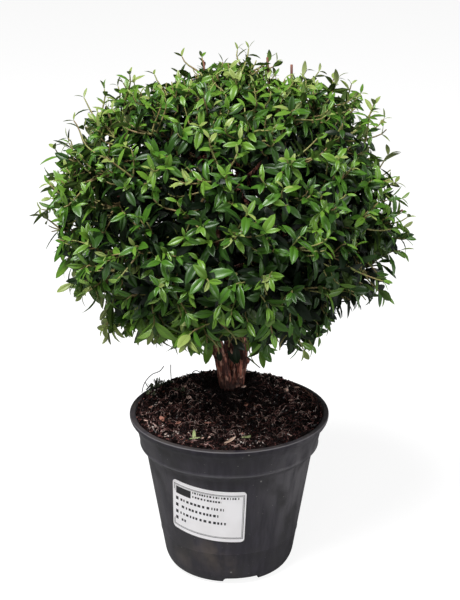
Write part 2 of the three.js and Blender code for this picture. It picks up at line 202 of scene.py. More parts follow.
def layered(tree, colour, *layers):
    """Lays colours over a first one, each through its own mask."""
    for mask, over in layers:
        under, over = ((*c, 1) if isinstance(c, tuple) else c for c in (colour, over))
        sources = (mask, None, None, None, None, None, under, over)
        colour = add_node(tree, "ShaderNodeMix", sources, data_type="RGBA").outputs[2]
    return colour


def value_by(tree, socket, mask, low, high):
    """Lets a mask drive a socket between two values."""
    spread = add_node(tree, "ShaderNodeMapRange", (mask, 0, 1, low, high))
    tree.links.new(spread.outputs["Result"], socket)


def bump_by(tree, shader, mask, depth):
    """Lets a mask raise the surface by a depth in metres."""
    bump = add_node(tree, "ShaderNodeBump")
    bump.inputs["Distance"].default_value = depth
    tree.links.new(mask, bump.inputs["Height"])
    tree.links.new(bump.outputs["Normal"], shader.inputs["Normal"])


def near_spot(tree, centre, reach, power=1.0):
    """A mask that has its full power at a spot and falls to 0 at its reach."""
    place = add_node(tree, "ShaderNodeTexCoord").outputs["Object"]
    away = add_node(tree, "ShaderNodeVectorMath", (place, centre), operation="DISTANCE")
    fall = (away.outputs["Value"], reach, 0, 0, power)
    return add_node(tree, "ShaderNodeMapRange", fall, interpolation_type="SMOOTHSTEP").outputs["Result"]


def multiply(tree, one, other):
    return add_node(tree, "ShaderNodeMath", (one, other), operation="MULTIPLY").outputs[0]


def near_height(tree, height, reach):
    """A mask that is 1 at a height and falls to 0 at its reach above and below."""
    place = add_node(tree, "ShaderNodeTexCoord").outputs["Object"]
    level = add_node(tree, "ShaderNodeSeparateXYZ", (place,)).outputs["Z"]
    above = add_node(tree, "ShaderNodeMath", (level, height), operation="SUBTRACT").outputs[0]
    away = add_node(tree, "ShaderNodeMath", (above,), operation="ABSOLUTE").outputs[0]
    return add_node(tree, "ShaderNodeMapRange", (away, reach, 0)).outputs["Result"]


def black_plastic():
    """Black moulded plastic, dulled by rubbing, with soft upright streaks, dust, a smear of dried soil,
    lighter side patches of wear and painted sheen, and painted highlights and shade round its rim and
    bead.
    """
    material, tree, shader = new_material("black_plastic", (0.03, 0.029, 0.032), 0.5)
    streaks = mottle(tree, (220, 220, 9), 2.0, (0.38, 0.66))
    handled = mottle(tree, (150, 150, 6), 3.0, (0.2, 0.6))
    # lighter patches on the left and right sides: partly wear from rubbing, partly painted sheen
    right_rub_and_sheen = multiply(tree, near_spot(tree, (0.084, -0.03, 0.085), 0.09), handled)
    left_rub_and_sheen = multiply(tree, near_spot(tree, (-0.072, -0.045, 0.075), 0.09, 0.35), handled)
    rub_and_sheen_colour = (0.15, 0.143, 0.152)
    clouds = mottle(tree, (38, 38, 30), 4.0, (0.5, 0.72))
    uneven = mottle(tree, (60, 60, 10), 3.0, (0.25, 0.5))
    # a painted highlight along the bead round the band's foot
    band_bead_highlight = multiply(tree, near_height(tree, 0.1008, 0.0011), uneven)
    colour = layered(
        tree,
        (0.0205, 0.0183, 0.0245),
        (streaks, (0.032, 0.029, 0.038)),
        (right_rub_and_sheen, rub_and_sheen_colour),
        (left_rub_and_sheen, rub_and_sheen_colour),
        (clouds, (0.030, 0.0285, 0.031)),
        (band_bead_highlight, (0.085, 0.083, 0.09)),
    )
    # old soil low on the front: where, how far it spreads and how thick it is
    for centre, reach, power in (
        ((-0.0145, -0.0502, 0.0267), 0.024, 0.85),
        ((-0.036, -0.036, 0.016), 0.02, 0.5),
        ((0.002, -0.05, 0.016), 0.014, 0.4),
    ):
        dried = mottle(tree, (90, 90, 80), 5.0, (0.35, 0.7))
        smear = multiply(tree, near_spot(tree, centre, reach, power), dried)
        colour = layered(tree, colour, (smear, (0.088, 0.072, 0.062)))
    dust_specks = mottle(tree, (700, 700, 700), 1.0, (0.765, 0.79))
    colour = layered(tree, colour, (dust_specks, (0.2, 0.19, 0.18)))
    # nicks and specks of lime
    for centre in (
        (0.005, -0.0664, 0.0972),
        (0.0143, -0.0746, 0.1215),
        (0.0014, -0.05, 0.0129),
        (0.0234, -0.0590, 0.0935),
    ):
        colour = layered(tree, colour, (near_spot(tree, centre, 0.0011), (0.3, 0.29, 0.28)))
    patchy = mottle(tree, (130, 130, 60), 4.0, (0.3, 0.6))
    # the lip's top: brownish dust that is also painted light, and a painted highlight along its outer edge
    lip_dust_and_light = multiply(tree, near_height(tree, 0.1256, 0.0014), patchy)
    lip_edge_highlight = near_height(tree, 0.1243, 0.0005)
    colour = layered(tree, colour, (lip_dust_and_light, (0.075, 0.062, 0.056)), (lip_edge_highlight, (0.16, 0.154, 0.16)))
    tree.links.new(colour, shader.inputs["Base Color"])
    value_by(tree, shader.inputs["Roughness"], clouds, 0.44, 0.58)
    # painted shade round the flange: less specular reflection near the lip
    value_by(tree, shader.inputs["Specular IOR Level"], near_height(tree, 0.1238, 0.0055), 0.42, 0.1)
    bump_by(tree, shader, mottle(tree, (1500, 1500, 1500), 2.0, (0.2, 0.8)), 0.00004)
    return material


def make_pot():
    """The pot's shell, turned and then cut for its drainage channels and holes."""
    height, lip = pot_height, lip_radius
    profile = [
        (0, 0, 0),
        (sole_radius, 0, 2.0),
        (sole_radius + 4.8, 2.6, 2.5),
        (body_radii[0], body_heights[0], 4.0),
        # a faint ridge low on the body
        (body_radius_at(28.0), 28.0, 0),
        (body_radius_at(29.2) + 0.3, 29.2, 0.3),
        (body_radius_at(30.6), 30.6, 0),
        (body_radii[1], body_heights[1], 2.5),
        # the band, with a bead round its foot
        (band_radii[0] - 0.3, band_foot - 3.4, 0.9),
        (band_radii[0] + 0.6, band_foot - 2.1, 0.5),
        (band_radii[0] + 0.1, band_foot - 0.2, 0.6),
        (band_radii[1] - 0.4, height - 10.0, 4.0),
        # the flange
        (lip - 0.5, height - 4.0, 2.4),
        (lip, height - 1.4, 0.6),
        (lip - 0.25, height - 0.2, 0.6),
        (72.4, height, 0.6),
        # and down again on the inside
        (band_radii[1] - wall, height - 3.8, 1.2),
        (band_radii[0] - wall, band_foot, 0.8),
        (body_radii[1] - wall, body_heights[1], 0.8),
        (body_radius_at(floor_height + 4) - wall, floor_height + 4, 2.0),
        (sole_radius, floor_height, 1.0),
        (0, floor_height, 0),
    ]
    points, faces = turned(rounded(profile), POT_SIDES)
    pot = make_piece("nursery_pot", points, faces, black_plastic())

    # channels and holes: how far out from the middle they lie, and how big they are
    channel_start, channel_end, channel_width, channel_depth = 20.0, 62.0, 28.0, 6.2
    hole_place, hole_radius, hole_length = 33, 4.5, 40
    cutters = []
    for degrees in (-78, 42, 162):
        turn = math.radians(degrees)
        along = np.array((math.cos(turn), math.sin(turn), 0))
        bpy.ops.mesh.primitive_cube_add(size=1)
        cutter = bpy.context.active_object
        cutter.scale = np.array((channel_end - channel_start, channel_width, channel_depth * 2)) * MM
        cutter.location = along * (channel_start + channel_end) / 2 * MM
        cutter.rotation_euler = (0, 0, turn)
        bpy.ops.object.transform_apply(scale=True)
        soften = cutter.modifiers.new("soften", "BEVEL")
        soften.width = 2.4 * MM
        soften.segments = 4
        cutters.append(cutter)
        bpy.ops.mesh.primitive_cylinder_add(
            radius=hole_radius * MM, depth=hole_length * MM, vertices=32, location=along * hole_place * MM
        )
        cutters.append(bpy.context.active_object)
    for cutter in cutters:
        cut = pot.modifiers.new("cut", "BOOLEAN")
        cut.operation = "DIFFERENCE"
        cut.solver = "EXACT"
        cut.object = cutter
    apply_modifiers(pot)
    for cutter in cutters:
        bpy.data.objects.remove(cutter)
    pot.data.shade_smooth()
    pot.data.set_sharp_from_angle(angle=math.radians(38))
    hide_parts("pot")
    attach(pot, "root")


make_pot()

# ------------------------------------------------------------------------------------------------
# The potting soil: moist black peat filled in loose and sunk a little under the rim, crumbly, with
# pale roots and straws, chips of bark brightened as painted light, and bright grains that are partly
# painted glints worked into its top. It is heaped slightly where the trunk comes out of it, and the
# paler bits keep away from the trunk, so the bare black peat round it is painted shade.

TRUNK_X, TRUNK_Y, GROUND = 1.5, 36.5, 129.0
SOIL_EDGE = 124.0
SOIL_RADIUS = 70.9
# where it was heaped while filling: x, y, height and reach
HEAPS = ((-13, 60, 5.0, 13), (14, 62, 2.6, 14), (36, 57, 1.8, 14), (-38, 56, 1.6, 15), (-62, 34, 1.2, 12))


def lattice_noise(points, seed):
    """Smooth noise from -1 to 1 at each row of points, with one wave to a unit of length."""
    cell = np.floor(points).astype(np.int64)
    part = points - cell
    fade = part * part * (3 - 2 * part)
    value = np.zeros(len(points))
    for corner in np.ndindex(2, 2, 2):
        at = cell + corner
        # scrambles a corner's place into a whole number that looks like chance
        mixed = at[:, 0] * 374761393 + at[:, 1] * 668265263 + at[:, 2] * 2147483629 + seed * 1274126177
        mixed &= 0xFFFFFFFF
        mixed = ((mixed ^ (mixed >> 13)) * 1274126177) & 0xFFFFFFFF
        mixed ^= mixed >> 16
        weight = np.prod(np.where(np.array(corner) == 1, fade, 1 - fade), axis=1)
        value += weight * (mixed / 0xFFFFFFFF)
    return value * 2 - 1


def soil_height(x, y):
    """The height of the soil's surface before its crumbs."""
    away = np.maximum(np.hypot(x - TRUNK_X, y - TRUNK_Y) - 15, 0)
    spread = np.exp(-((away / 40) ** 2))
    lumps = 0.55 * (np.sin(x * 0.31 + 1.3) * np.cos(y * 0.27 - 0.4) + np.sin(x * 0.17 - y * 0.41))
    for heap_x, heap_y, height, reach in HEAPS:
        lumps = lumps + height * np.exp(-((x - heap_x) ** 2 + (y - heap_y) ** 2) / reach**2)
    return SOIL_EDGE + (GROUND - 0.3 - SOIL_EDGE) * spread + lumps * (1 - spread)


def crumbled_height(x, y):
    """The height of the soil's surface with its crumbs, which thin out to a level edge."""
    flat = np.stack([x, y, np.zeros_like(x)], 1)
    # crumbs of three sizes
    rough = 1.1 * lattice_noise(flat / 6, 1) + 1.5 * lattice_noise(flat / 2.7, 2)
    rough += 1.4 * np.abs(lattice_noise(flat / 1.4, 3)) - 0.7
    inside = np.clip((SOIL_RADIUS - np.hypot(x, y)) / 3, 0.3, 1)
    return soil_height(x, y) + rough * inside + 0.4 * (1 - inside)


def tinted(name, roughness, grain, *colours, upright=None, bump=0.0, shine=0.25):
    """Earthy or woody stuff in three colours that run into each other, in a finer or coarser grain."""
    material, tree, shader = new_material(name, colours[0], roughness)
    shader.inputs["Specular IOR Level"].default_value = shine
    scale = (grain, grain, upright or grain)
    coarse = mottle(tree, scale, 4.0, (0.4, 0.6))
    finer = mottle(tree, tuple(3.1 * s for s in scale), 4.0, (0.55, 0.7))
    colour = layered(tree, colours[0], (coarse, colours[1]), (finer, colours[2]))
    tree.links.new(colour, shader.inputs["Base Color"])
    if bump:
        bump_by(tree, shader, finer, bump)
    return material


def make_soil():
    rings, sectors = 110, 330
    radius = SOIL_RADIUS * np.sqrt(np.linspace(0, 1, rings + 1)[1:])
    turn = np.arange(sectors) * 2 * math.pi / sectors
    x = np.outer(radius, np.cos(turn)).reshape(-1)
    y = np.outer(radius, np.sin(turn)).reshape(-1)
    z = crumbled_height(x, y)
    top = np.stack([x, y, z], 1)
    # its edge goes on down inside the pot's wall
    skirt_depth = 8
    skirt = top[-sectors:] * (0.995, 0.995, 0) + (0, 0, SOIL_EDGE - skirt_depth)
    middle = np.array([[0, 0, crumbled_height(np.zeros(1), np.zeros(1))[0]]])
    points = np.vstack([top, skirt, middle])
    k = np.arange(sectors)
    fan = np.stack([np.full(sectors, len(points) - 1), k, (k + 1) % sectors], 1)
    peat_colours = ((0.0042, 0.0019, 0.0018), (0.0145, 0.006, 0.0056), (0.0012, 0.0007, 0.0008))
    peat = tinted("moist_peat", 0.5, 260, *peat_colours, bump=0.0008, shine=0.12)
    soil = make_piece("potting_soil_top", points, [ring_faces(rings + 1, sectors), fan], peat)
    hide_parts("potting_soil")
    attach(soil, "root")
    return peat


def unit(vectors):
    return vectors / np.maximum(np.linalg.norm(vectors, axis=-1, keepdims=True), 1e-9)


def turned_frames(count, draw):
    """Random square frames: (count, 3, 3), each with three unit axes as its rows."""
    first = unit(draw.normal(size=(count, 3)))
    second = unit(np.cross(first, draw.normal(size=(count, 3))))
    return np.stack([first, second, np.cross(first, second)], 1)


def on_soil(count, draw, inside, painted_shade_reach):
    """Places spread evenly over the soil, clear of the trunk and rarer up to a distance from it, so that
    the bare black peat left round the trunk is painted shade.
    """
    tries = count * 4  # since the ones too near are dropped
    trunk_radius = 10
    radius = inside * np.sqrt(draw.random(tries))
    turn = draw.random(tries) * 2 * math.pi
    x, y = radius * np.cos(turn), radius * np.sin(turn)
    away = np.hypot(x - TRUNK_X, (y - TRUNK_Y) * 0.8) - trunk_radius
    clear = (away > 0) & (away > painted_shade_reach * draw.random(tries) ** 0.5)
    x, y = x[clear][:count], y[clear][:count]
    return np.stack([x, y, crumbled_height(x, y)], 1)


def soil_piece(name, points, faces, material, smooth=True):
    """A piece that lies on the soil."""
    piece = make_piece(name, points, faces, material, smooth)
    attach(piece, "root")


def make_crumbs(name, places, sizes, flatness, material, draw):
    """Broken lumps: small irregular eight-cornered stones, turned any way, or flakes."""
    corners = np.array([(x, y, z) for x in (-1, 1) for y in (-1, 1) for z in (-1, 1)], float)
    faces = np.array([(0, 1, 3, 2), (4, 6, 7, 5), (0, 4, 5, 1), (2, 3, 7, 6), (0, 2, 6, 4), (1, 5, 7, 3)])
    count = len(places)
    shape = corners[None] * (0.55 + 0.45 * draw.random((count, 8, 3)))
    shape *= sizes[:, None, None] / 2 * np.array((1, 0.8, flatness))
    turned_ways = turned_frames(count, draw)
    if flatness < 0.5:
        # flakes lie nearly level
        turned_ways = unit(turned_frames(count, draw) * 0.35 + np.eye(3))
    points = np.einsum("nkj,nji->nki", shape, turned_ways) + places[:, None]
    all_faces = (faces[None] + 8 * np.arange(count)[:, None, None]).reshape(-1, 4)
    soil_piece(name, points.reshape(-1, 3), [all_faces], material, smooth=False)


def tubes(paths, radii, sides):
    """Points and faces of tapering tubes. paths is (tubes, steps, 3) and radii is (tubes, steps)."""
    count, steps = radii.shape
    along = unit(np.gradient(paths, axis=1))
    least = np.argmin(np.abs(along.mean(1)), axis=1)
    reference = np.eye(3)[least][:, None]
    side = unit(np.cross(along, reference))
    front = np.cross(side, along)
    turn = np.arange(sides) * 2 * math.pi / sides
    offset = side[:, :, None] * np.cos(turn)[:, None] + front[:, :, None] * np.sin(turn)[:, None]
    points = (paths[:, :, None] + offset * radii[:, :, None, None]).reshape(-1, 3)
    k = np.arange(sides)
    fan = np.stack([np.zeros(sides - 2, int), k[1:-1], k[2:]], 1)
    caps = np.vstack([fan, fan[:, ::-1] + sides * (steps - 1)])
    starts = steps * sides * np.arange(count)[:, None, None]
    return points, [(ring_faces(steps, sides) + starts).reshape(-1, 4), (caps + starts).reshape(-1, 3)]


def make_straws(name, places, lengths, thickness, rise, curl, material, draw):
    """Fine roots and straws that lie on the soil, bent this way and that."""
    count, steps = len(places), 7
    turn = draw.random(count) * 2 * math.pi
    bend = (draw.random(count) - 0.5) * curl
    reach = np.linspace(0, 1, steps)
    heading = turn[:, None] + bend[:, None] * reach * 2
    step = lengths[:, None] / (steps - 1)
    x = places[:, :1] + np.cumsum(np.cos(heading) * step, 1)
    y = places[:, 1:2] + np.cumsum(np.sin(heading) * step, 1)
    furthest = 67.5  # inside the pot's wall
    pull = np.minimum(1, furthest / np.hypot(x, y))
    x, y = x * pull, y * pull
    ground = crumbled_height(x.reshape(-1), y.reshape(-1)).reshape(x.shape)
    smooth = (ground + np.roll(ground, 1, 1) + np.roll(ground, -1, 1)) / 3
    smooth[:, 0], smooth[:, -1] = ground[:, 0] - 0.3, ground[:, -1] - 0.3
    arch = np.sin(reach * math.pi) * (draw.random(count)[:, None] * rise)
    paths = np.stack([x, y, np.maximum(smooth, ground - 0.1) + 0.5 + arch], 2)
    radii = thickness * (0.6 + 0.6 * draw.random(count))[:, None] * (1 - 0.6 * reach)
    soil_piece(name, *tubes(paths, radii, 4), material)


peat = make_soil()
pick = np.random.default_rng(5)
bark_brown = tinted("bark_chips", 0.8, 300, (0.22, 0.09, 0.06), (0.11, 0.045, 0.032), (0.34, 0.17, 0.12))
dry_straw = tinted("dry_straw", 0.6, 260, (0.56, 0.41, 0.36), (0.26, 0.15, 0.125), (0.92, 0.8, 0.74))
dark_root = tinted("dark_root", 0.6, 90, (0.2, 0.092, 0.08), (0.07, 0.028, 0.025), (0.62, 0.42, 0.38))
# pale grains, whiter and more of them so that they also stand for painted glints
pale_grain_and_glint = tinted("pale_grain_and_glint", 0.6, 300, (0.9, 0.82, 0.76), (0.6, 0.48, 0.42), (1, 0.97, 0.93))
black_colours = ((0.0025, 0.0015, 0.0015), (0.007, 0.004, 0.0036), (0.001, 0.0008, 0.0008))
black_peat = tinted("black_peat", 0.34, 260, *black_colours, shine=0.2)
brown_colours = ((0.15, 0.055, 0.048), (0.045, 0.0155, 0.0145), (0.36, 0.17, 0.15))
brown_peat = tinted("brown_peat", 0.6, 160, *brown_colours)

# name, how many, how far out, how far they shun the trunk to leave painted shade round it, lift,
# least size, how much is added to it and by which power, flatness and stuff
for name, count, inside, painted_shade_reach, lift, least, more, power, flatness, stuff in (
    ("peat_crumbs", 5600, 71.2, 0, 0, 0.8, 1.8, 2, 0.8, peat),
    ("peat_lumps", 900, 70.5, 0, 0.3, 1.8, 1.6, 2, 0.6, black_peat),
    ("brown_crumbs", 1300, 71.2, 34, 0.6, 0.5, 1.0, 1, 0.6, brown_peat),
    ("peat_flakes", 170, 68, 30, 0, 1.2, 1.8, 2, 0.3, bark_brown),
    # grains that are partly painted glints
    ("grains_and_glints", 300, 68, 20, 1, 0.5, 0.8, 2, 0.8, pale_grain_and_glint),
):
    places = on_soil(count, pick, inside, painted_shade_reach) + (0, 0, lift)
    sizes = least + more * pick.random(count) ** power
    make_crumbs(name, places, sizes, flatness, stuff, pick)

# name, how many, how far out, how far they shun the trunk to leave painted shade round it, least
# length, how much is added to it and by which power, thickness, rise, curl and stuff
for name, count, inside, painted_shade_reach, least, more, power, thickness, rise, curl, stuff in (
    ("straws", 300, 69, 20, 2, 8, 1.8, 0.27, 3.0, 2.4, dry_straw),
    ("roots", 480, 69, 36, 4, 9, 1, 0.26, 2.2, 3.0, dark_root),
    ("black_roots", 700, 66, 0, 4, 8, 1, 0.35, 3.0, 3.0, black_peat),
):
    places = on_soil(count, pick, inside, painted_shade_reach)
    lengths = least + more * pick.random(count) ** power
    make_straws(name, places, lengths, thickness, rise, curl, stuff, pick)


def rounded_line(points, steps=240):
    """A smooth line through a few points: centripetal Catmull-Rom, evenly spaced along its length."""
    p = [np.array(point, float) for point in points]
    p = [2 * p[0] - p[1], *p, 2 * p[-1] - p[-2]]
    made = []
    for i in range(1, len(p) - 2):
        gaps = [max(np.linalg.norm(p[i + j + 1] - p[i + j]), 1e-6) ** 0.5 for j in (-1, 0, 1)]
        start = (p[i] - p[i - 1]) / gaps[0] - (p[i + 1] - p[i - 1]) / (gaps[0] + gaps[1])
        start = (start + (p[i + 1] - p[i]) / gaps[1]) * gaps[1]
        end = (p[i + 1] - p[i]) / gaps[1] - (p[i + 2] - p[i]) / (gaps[1] + gaps[2])
        end = (end + (p[i + 2] - p[i + 1]) / gaps[2]) * gaps[1]
        t = np.linspace(0, 1, 200)[:, None]
        part = (2 * t**3 - 3 * t**2 + 1) * p[i] + (t**3 - 2 * t**2 + t) * start
        made.append(part + (-2 * t**3 + 3 * t**2) * p[i + 1] + (t**3 - t**2) * end)
    line = np.vstack(made)
    length = np.concatenate([[0], np.cumsum(np.linalg.norm(np.diff(line, axis=0), axis=1))])
    even = np.linspace(0, length[-1], steps + 1)
    return np.stack([np.interp(even, length, line[:, axis]) for axis in range(3)], 1)


def make_bits(name, rows, material):
    """Single chips and leaflets on the soil: x, y, length, width, turn in degrees and lift at one end."""
    thickness, above_soil = 0.35, 1.5
    # the cross-section, from edge to edge below and back above: across and up
    section = [(-1, -0.1), (0, -0.5), (1, -0.1), (1, 0.9), (0, 0.5), (-1, 0.9)]
    points, quads, count = [], [], 0
    for x, y, length, width, turn, lift in rows:
        along = np.array((math.cos(math.radians(turn)), math.sin(math.radians(turn)), 0))
        side = np.array((-along[1], along[0], 0))
        ground = crumbled_height(np.array([float(x)]), np.array([float(y)]))[0] + above_soil
        steps = np.linspace(-1, 1, 7)
        half = width / 2 * np.sqrt(np.maximum(0.04, 1 - steps**2))
        centre = np.array((x, y, ground)) + along * steps[:, None] * length / 2
        centre[:, 2] += lift * ((steps + 1) / 2) ** 1.5
        for across, up in section:
            points.append(centre + side * (across * half)[:, None] + (0, 0, up * thickness))
        grid = np.arange(6 * 7).reshape(6, 7) + count
        below = np.roll(grid, -1, axis=0)
        quads.append(np.stack([grid[:, :-1], below[:, :-1], below[:, 1:], grid[:, 1:]], -1).reshape(-1, 4))
        for end, order in ((0, -1), (6, 1)):
            ring_end = grid[::order, end]
            quads.append(np.array([ring_end[[0, 1, 4, 5]], ring_end[[1, 2, 3, 4]]]))
        count += 42
    soil_piece(name, np.vstack(points), [np.vstack(quads)], material)


def make_threads(name, lines, radius, material):
    """Single roots and hair-thin stems, each drawn through a few points."""
    paths = np.stack([rounded_line(line, 24) for line in lines])
    soil_piece(name, *tubes(paths, np.full(paths.shape[:2], radius), 5), material)


def laid(*places, lift=0.9):
    """Points just over the soil from pairs of x and y."""
    xy = np.array(places, float)
    return np.column_stack([xy, crumbled_height(xy[:, 0], xy[:, 1]) + lift])


# reddish and pinkish chips, brightened past their own colour as painted light where the crown's shadow
# falls
red_chip_and_light = tinted("red_chip_and_light", 0.75, 300, (0.62, 0.29, 0.22), (0.4, 0.17, 0.12), (0.78, 0.5, 0.4))
pink_chip_and_light = tinted("pink_chip_and_light", 0.75, 300, (0.85, 0.6, 0.5), (0.6, 0.38, 0.3), (0.95, 0.82, 0.74))
pale_leaflet = tinted("pale_leaflet", 0.5, 200, (0.40, 0.47, 0.22), (0.28, 0.34, 0.14), (0.55, 0.58, 0.33))
curled_brown = tinted("curled_leaf", 0.6, 200, (0.72, 0.52, 0.42), (0.45, 0.3, 0.22), (0.85, 0.74, 0.62))
weed_green = tinted("weed_green", 0.55, 200, (0.075, 0.1, 0.05), (0.03, 0.045, 0.02), (0.2, 0.23, 0.14))
dark_hair = tinted("dark_hair", 0.6, 200, (0.02, 0.022, 0.015), (0.012, 0.012, 0.01), (0.035, 0.035, 0.02))
root_brown = tinted("root_brown", 0.7, 200, (0.2, 0.1, 0.07), (0.12, 0.06, 0.04), (0.3, 0.18, 0.12))

make_bits(
    "bark_chips",
    [
        (-50.7, -17.7, 6.5, 3.6, 110, 1.5),
        (-38.3, -24.5, 4.6, 4.0, 20, 0.8),
        (-15.8, -29.7, 5.0, 2.2, -12, 0.5),
        (12.8, -3.0, 3.2, 2.8, 30, 0.6),
        (20.4, -0.9, 3.0, 2.6, -20, 0.6),
        (-60.0, 2.0, 3.5, 2.2, 40, 0.4),
        (9.5, -46.0, 3.0, 2.0, 70, 0.4),
    ],
    red_chip_and_light,
)
make_bits(
    "pale_chips",
    [
        (44.0, 28.5, 3.0, 4.6, 80, 1.4),
        (52.6, 38.6, 5.0, 3.6, -25, 0.8),
        (-35.2, 35.8, 4.0, 3.0, 30, 1.0),
        (-45.0, 6.2, 2.6, 2.4, 10, 0.5),
        (11.2, 30.2, 4.0, 3.2, 5, 0.8),
        (-31.3, 14.4, 3.0, 4.2, 70, 1.2),
        (45.4, 37.3, 2.0, 1.8, 0, 0.5),
        (-19.5, -51.8, 2.4, 1.8, 30, 0.5),
        (-12.7, -45.2, 1.6, 3.4, 95, 0.8),
        (45.4, -48.2, 1.3, 1.3, 0, 0.3),
        (40.2, 36.3, 5.0, 0.9, 35, 0.4),
        (-65.0, -14.5, 2.0, 1.6, 0, 0.3),
        (-62.5, -24.0, 4.0, 1.0, -30, 0.4),
        (27.7, -17.3, 1.4, 4.0, 80, 0.5),
        (47.2, 11.9, 3.4, 2.2, 0, 0.8),
        (-14.5, -52.5, 2.0, 1.6, 60, 0.5),
    ],
    pink_chip_and_light,
)
make_bits(
    "leaflets",
    [
        (-26.0, -47.5, 1.2, 3.0, 0, 0.5),
        (-25.6, -52.4, 6.5, 2.6, 93, 5.2),
        (-25.0, -56.6, 8.0, 1.5, 10, 0.5),
        (12.2, -50.9, 7.6, 3.4, 4, 0.9),
        (14.6, -48.6, 3.0, 2.2, 60, 2.0),
    ],
    pale_leaflet,
)
make_bits(
    "curled_leaf",
    [(0.6, -59.4, 9.5, 3.4, 28, 3.2), (-3.2, -62.4, 5.0, 1.6, 50, 0.6)],
    curled_brown,
)
make_threads(
    "long_straws",
    [
        laid((33.4, -21.0), (38.5, -9.0), (43.1, 0.4)),
        laid((38.2, -35.4), (40.4, -28.2), (42.8, -20.4)),
        laid((36.3, -45.8), (38.0, -42.4), (39.8, -38.9)),
        laid((-59.3, -24.5), (-56.0, -29.0), (-52.0, -33.5)),
        laid((-30.8, -24.9), (-29.4, -20.5), (-28.0, -16.2)),
    ],
    0.3,
    dry_straw,
)
make_threads(
    "loose_roots",
    [
        laid((58.8, 36.1), (62.0, 24.0), (64.6, 15.9), (63.0, 6.7)),
        laid((58.0, 35.8), (61.5, 32.0), (67.5, 20.0)),
        laid((27.2, -8.0), (21.0, -14.6), (13.4, -19.6), (5.8, -27.5)),
        laid((-34.8, 11.2), (-34.9, 7.0), (-34.2, 2.8)),
        laid((9.0, 7.0), (10.4, 4.4), (12.8, 5.8), (14.0, 2.8)),
        laid((57.2, -2.4), (59.0, -3.4), (60.0, -6.4), (61.6, -7.0)),
        laid((-41.6, 30.6), (-37.6, 25.8), (-34.3, 21.5)),
    ],
    0.32,
    root_brown,
)
make_threads(
    "hair_stems",
    [
        [(-68.6, 34.4, 124.5), (-66.3, 34.4, 132.6), (-60.4, 34.4, 139.8), (-54.1, 34.4, 142.8)]
        + [(-50.9, 34.4, 147)],
        [(-46.3, 52.0, 125.5), (-46.2, 52.0, 130), (-46.4, 52.1, 135), (-46.3, 52.0, 141)],
        [(-30.5, 58, 127), (-29.2, 59, 131.5), (-26.4, 60, 132.6), (-23, 59.5, 131), (-20.5, 58, 127)],
    ],
    0.36,
    dark_hair,
)


# low weeds in clumps at the back of the rim: x, y, how many leaves and how tall
WEED_CLUMPS = ((-61.5, 34.5, 10, 6.5), (-55, 40.5, 11, 7.5), (-64, 26, 5, 3), (-50, 45, 6, 4))
# four leaves of a seedling nearer the middle: x, y, length and turn
SEEDLING = ((-41.2, 27.4, 5, 170), (-36.4, 25.4, 4.4, -25), (-36.2, 31.4, 4, 80), (-35.5, 19.8, 4.2, -80))
weed_draw = np.random.default_rng(9)
weeds = []
for x, y, count, tall in WEED_CLUMPS:
    for _ in range(count):
        lift = tall * (0.5 + 0.5 * weed_draw.random())
        at = (x + weed_draw.normal() * 2.4, y + weed_draw.normal())
        weeds.append((*at, 4, 1.8, weed_draw.random() * 360, lift))
weeds += [(x, y, length, 2, turn, 1) for x, y, length, turn in SEEDLING]
make_bits("weeds", weeds, weed_green)

# ------------------------------------------------------------------------------------------------
# The trunk and its three stems: reddish-brown wood under thin bark that splits into upright strips.
# They are one plant: the butt stands on the soil, forks two fingers above it, and the stems end
# inside the crown.

CROWN_MIDDLE = np.array((-8.0, 12.0, 280.0))


class Stem:
    """A stem's line from under the ground to its tip, and its radius along it."""

    def __init__(self, foot, knee, waist, tip, radii, ends=1.0):
        under_ground = 12
        start = (TRUNK_X + foot[0], TRUNK_Y + foot[1], GROUND - under_ground)
        self.line = rounded_line([start, knee, waist, CROWN_MIDDLE + tip])
        share = np.linspace(0, 1, len(self.line))
        self.radii = radii[0] + (radii[1] - radii[0]) * share**0.8
        self.last = int(round(ends * (len(self.line) - 1)))

    def clearance(self, points):
        """How far points are from the bark."""
        line, radii = self.line[: self.last + 1 : 5], self.radii[: self.last + 1 : 5]
        gaps = np.linalg.norm(points[:, None] - line[None], axis=2) - radii
        return gaps.min(1)


stem_left = Stem((-0.4, -1.5), (-7.9, 32.5, 159), (-20, 27, 192), (-50, 0, -18), (6.4, 3.0))
stem_right = Stem((0.8, -0.5), (10.0, 34.5, 157), (9, 29, 182), (50, 0, -18), (5.9, 2.9))
stem_middle = Stem((0, 3), (1, 43, 155), (-6, 33, 205), (0, 0, 46), (5.2, 2.4), 0.84)
stems = (stem_left, stem_right, stem_middle)


def bark():
    """Thin reddish bark: pale worn ridges, darker furrows and stringy strips along the stem."""
    material, tree, shader = new_material("reddish_bark", (0.16, 0.06, 0.035), 0.72)
    shader.inputs["Specular IOR Level"].default_value = 0.3
    strips = mottle(tree, (620, 620, 85), 4.0, (0.44, 0.58))
    worn = mottle(tree, (430, 430, 120), 3.0, (0.53, 0.65))
    damp = mottle(tree, (110, 110, 80), 2.0, (0.52, 0.66))
    # the bark turns near-black towards the trunk's foot
    blackened_foot = near_spot(tree, (0.0015, 0.0345, 0.121), 0.0265)
    colour = layered(
        tree,
        (0.05, 0.017, 0.013),
        (strips, (0.36, 0.125, 0.085)),
        (worn, (0.66, 0.35, 0.26)),
        (damp, (0.06, 0.022, 0.017)),
        (blackened_foot, (0.012, 0.006, 0.005)),
    )
    tree.links.new(colour, shader.inputs["Base Color"])
    bump_by(tree, shader, strips, 0.0012)
    return material


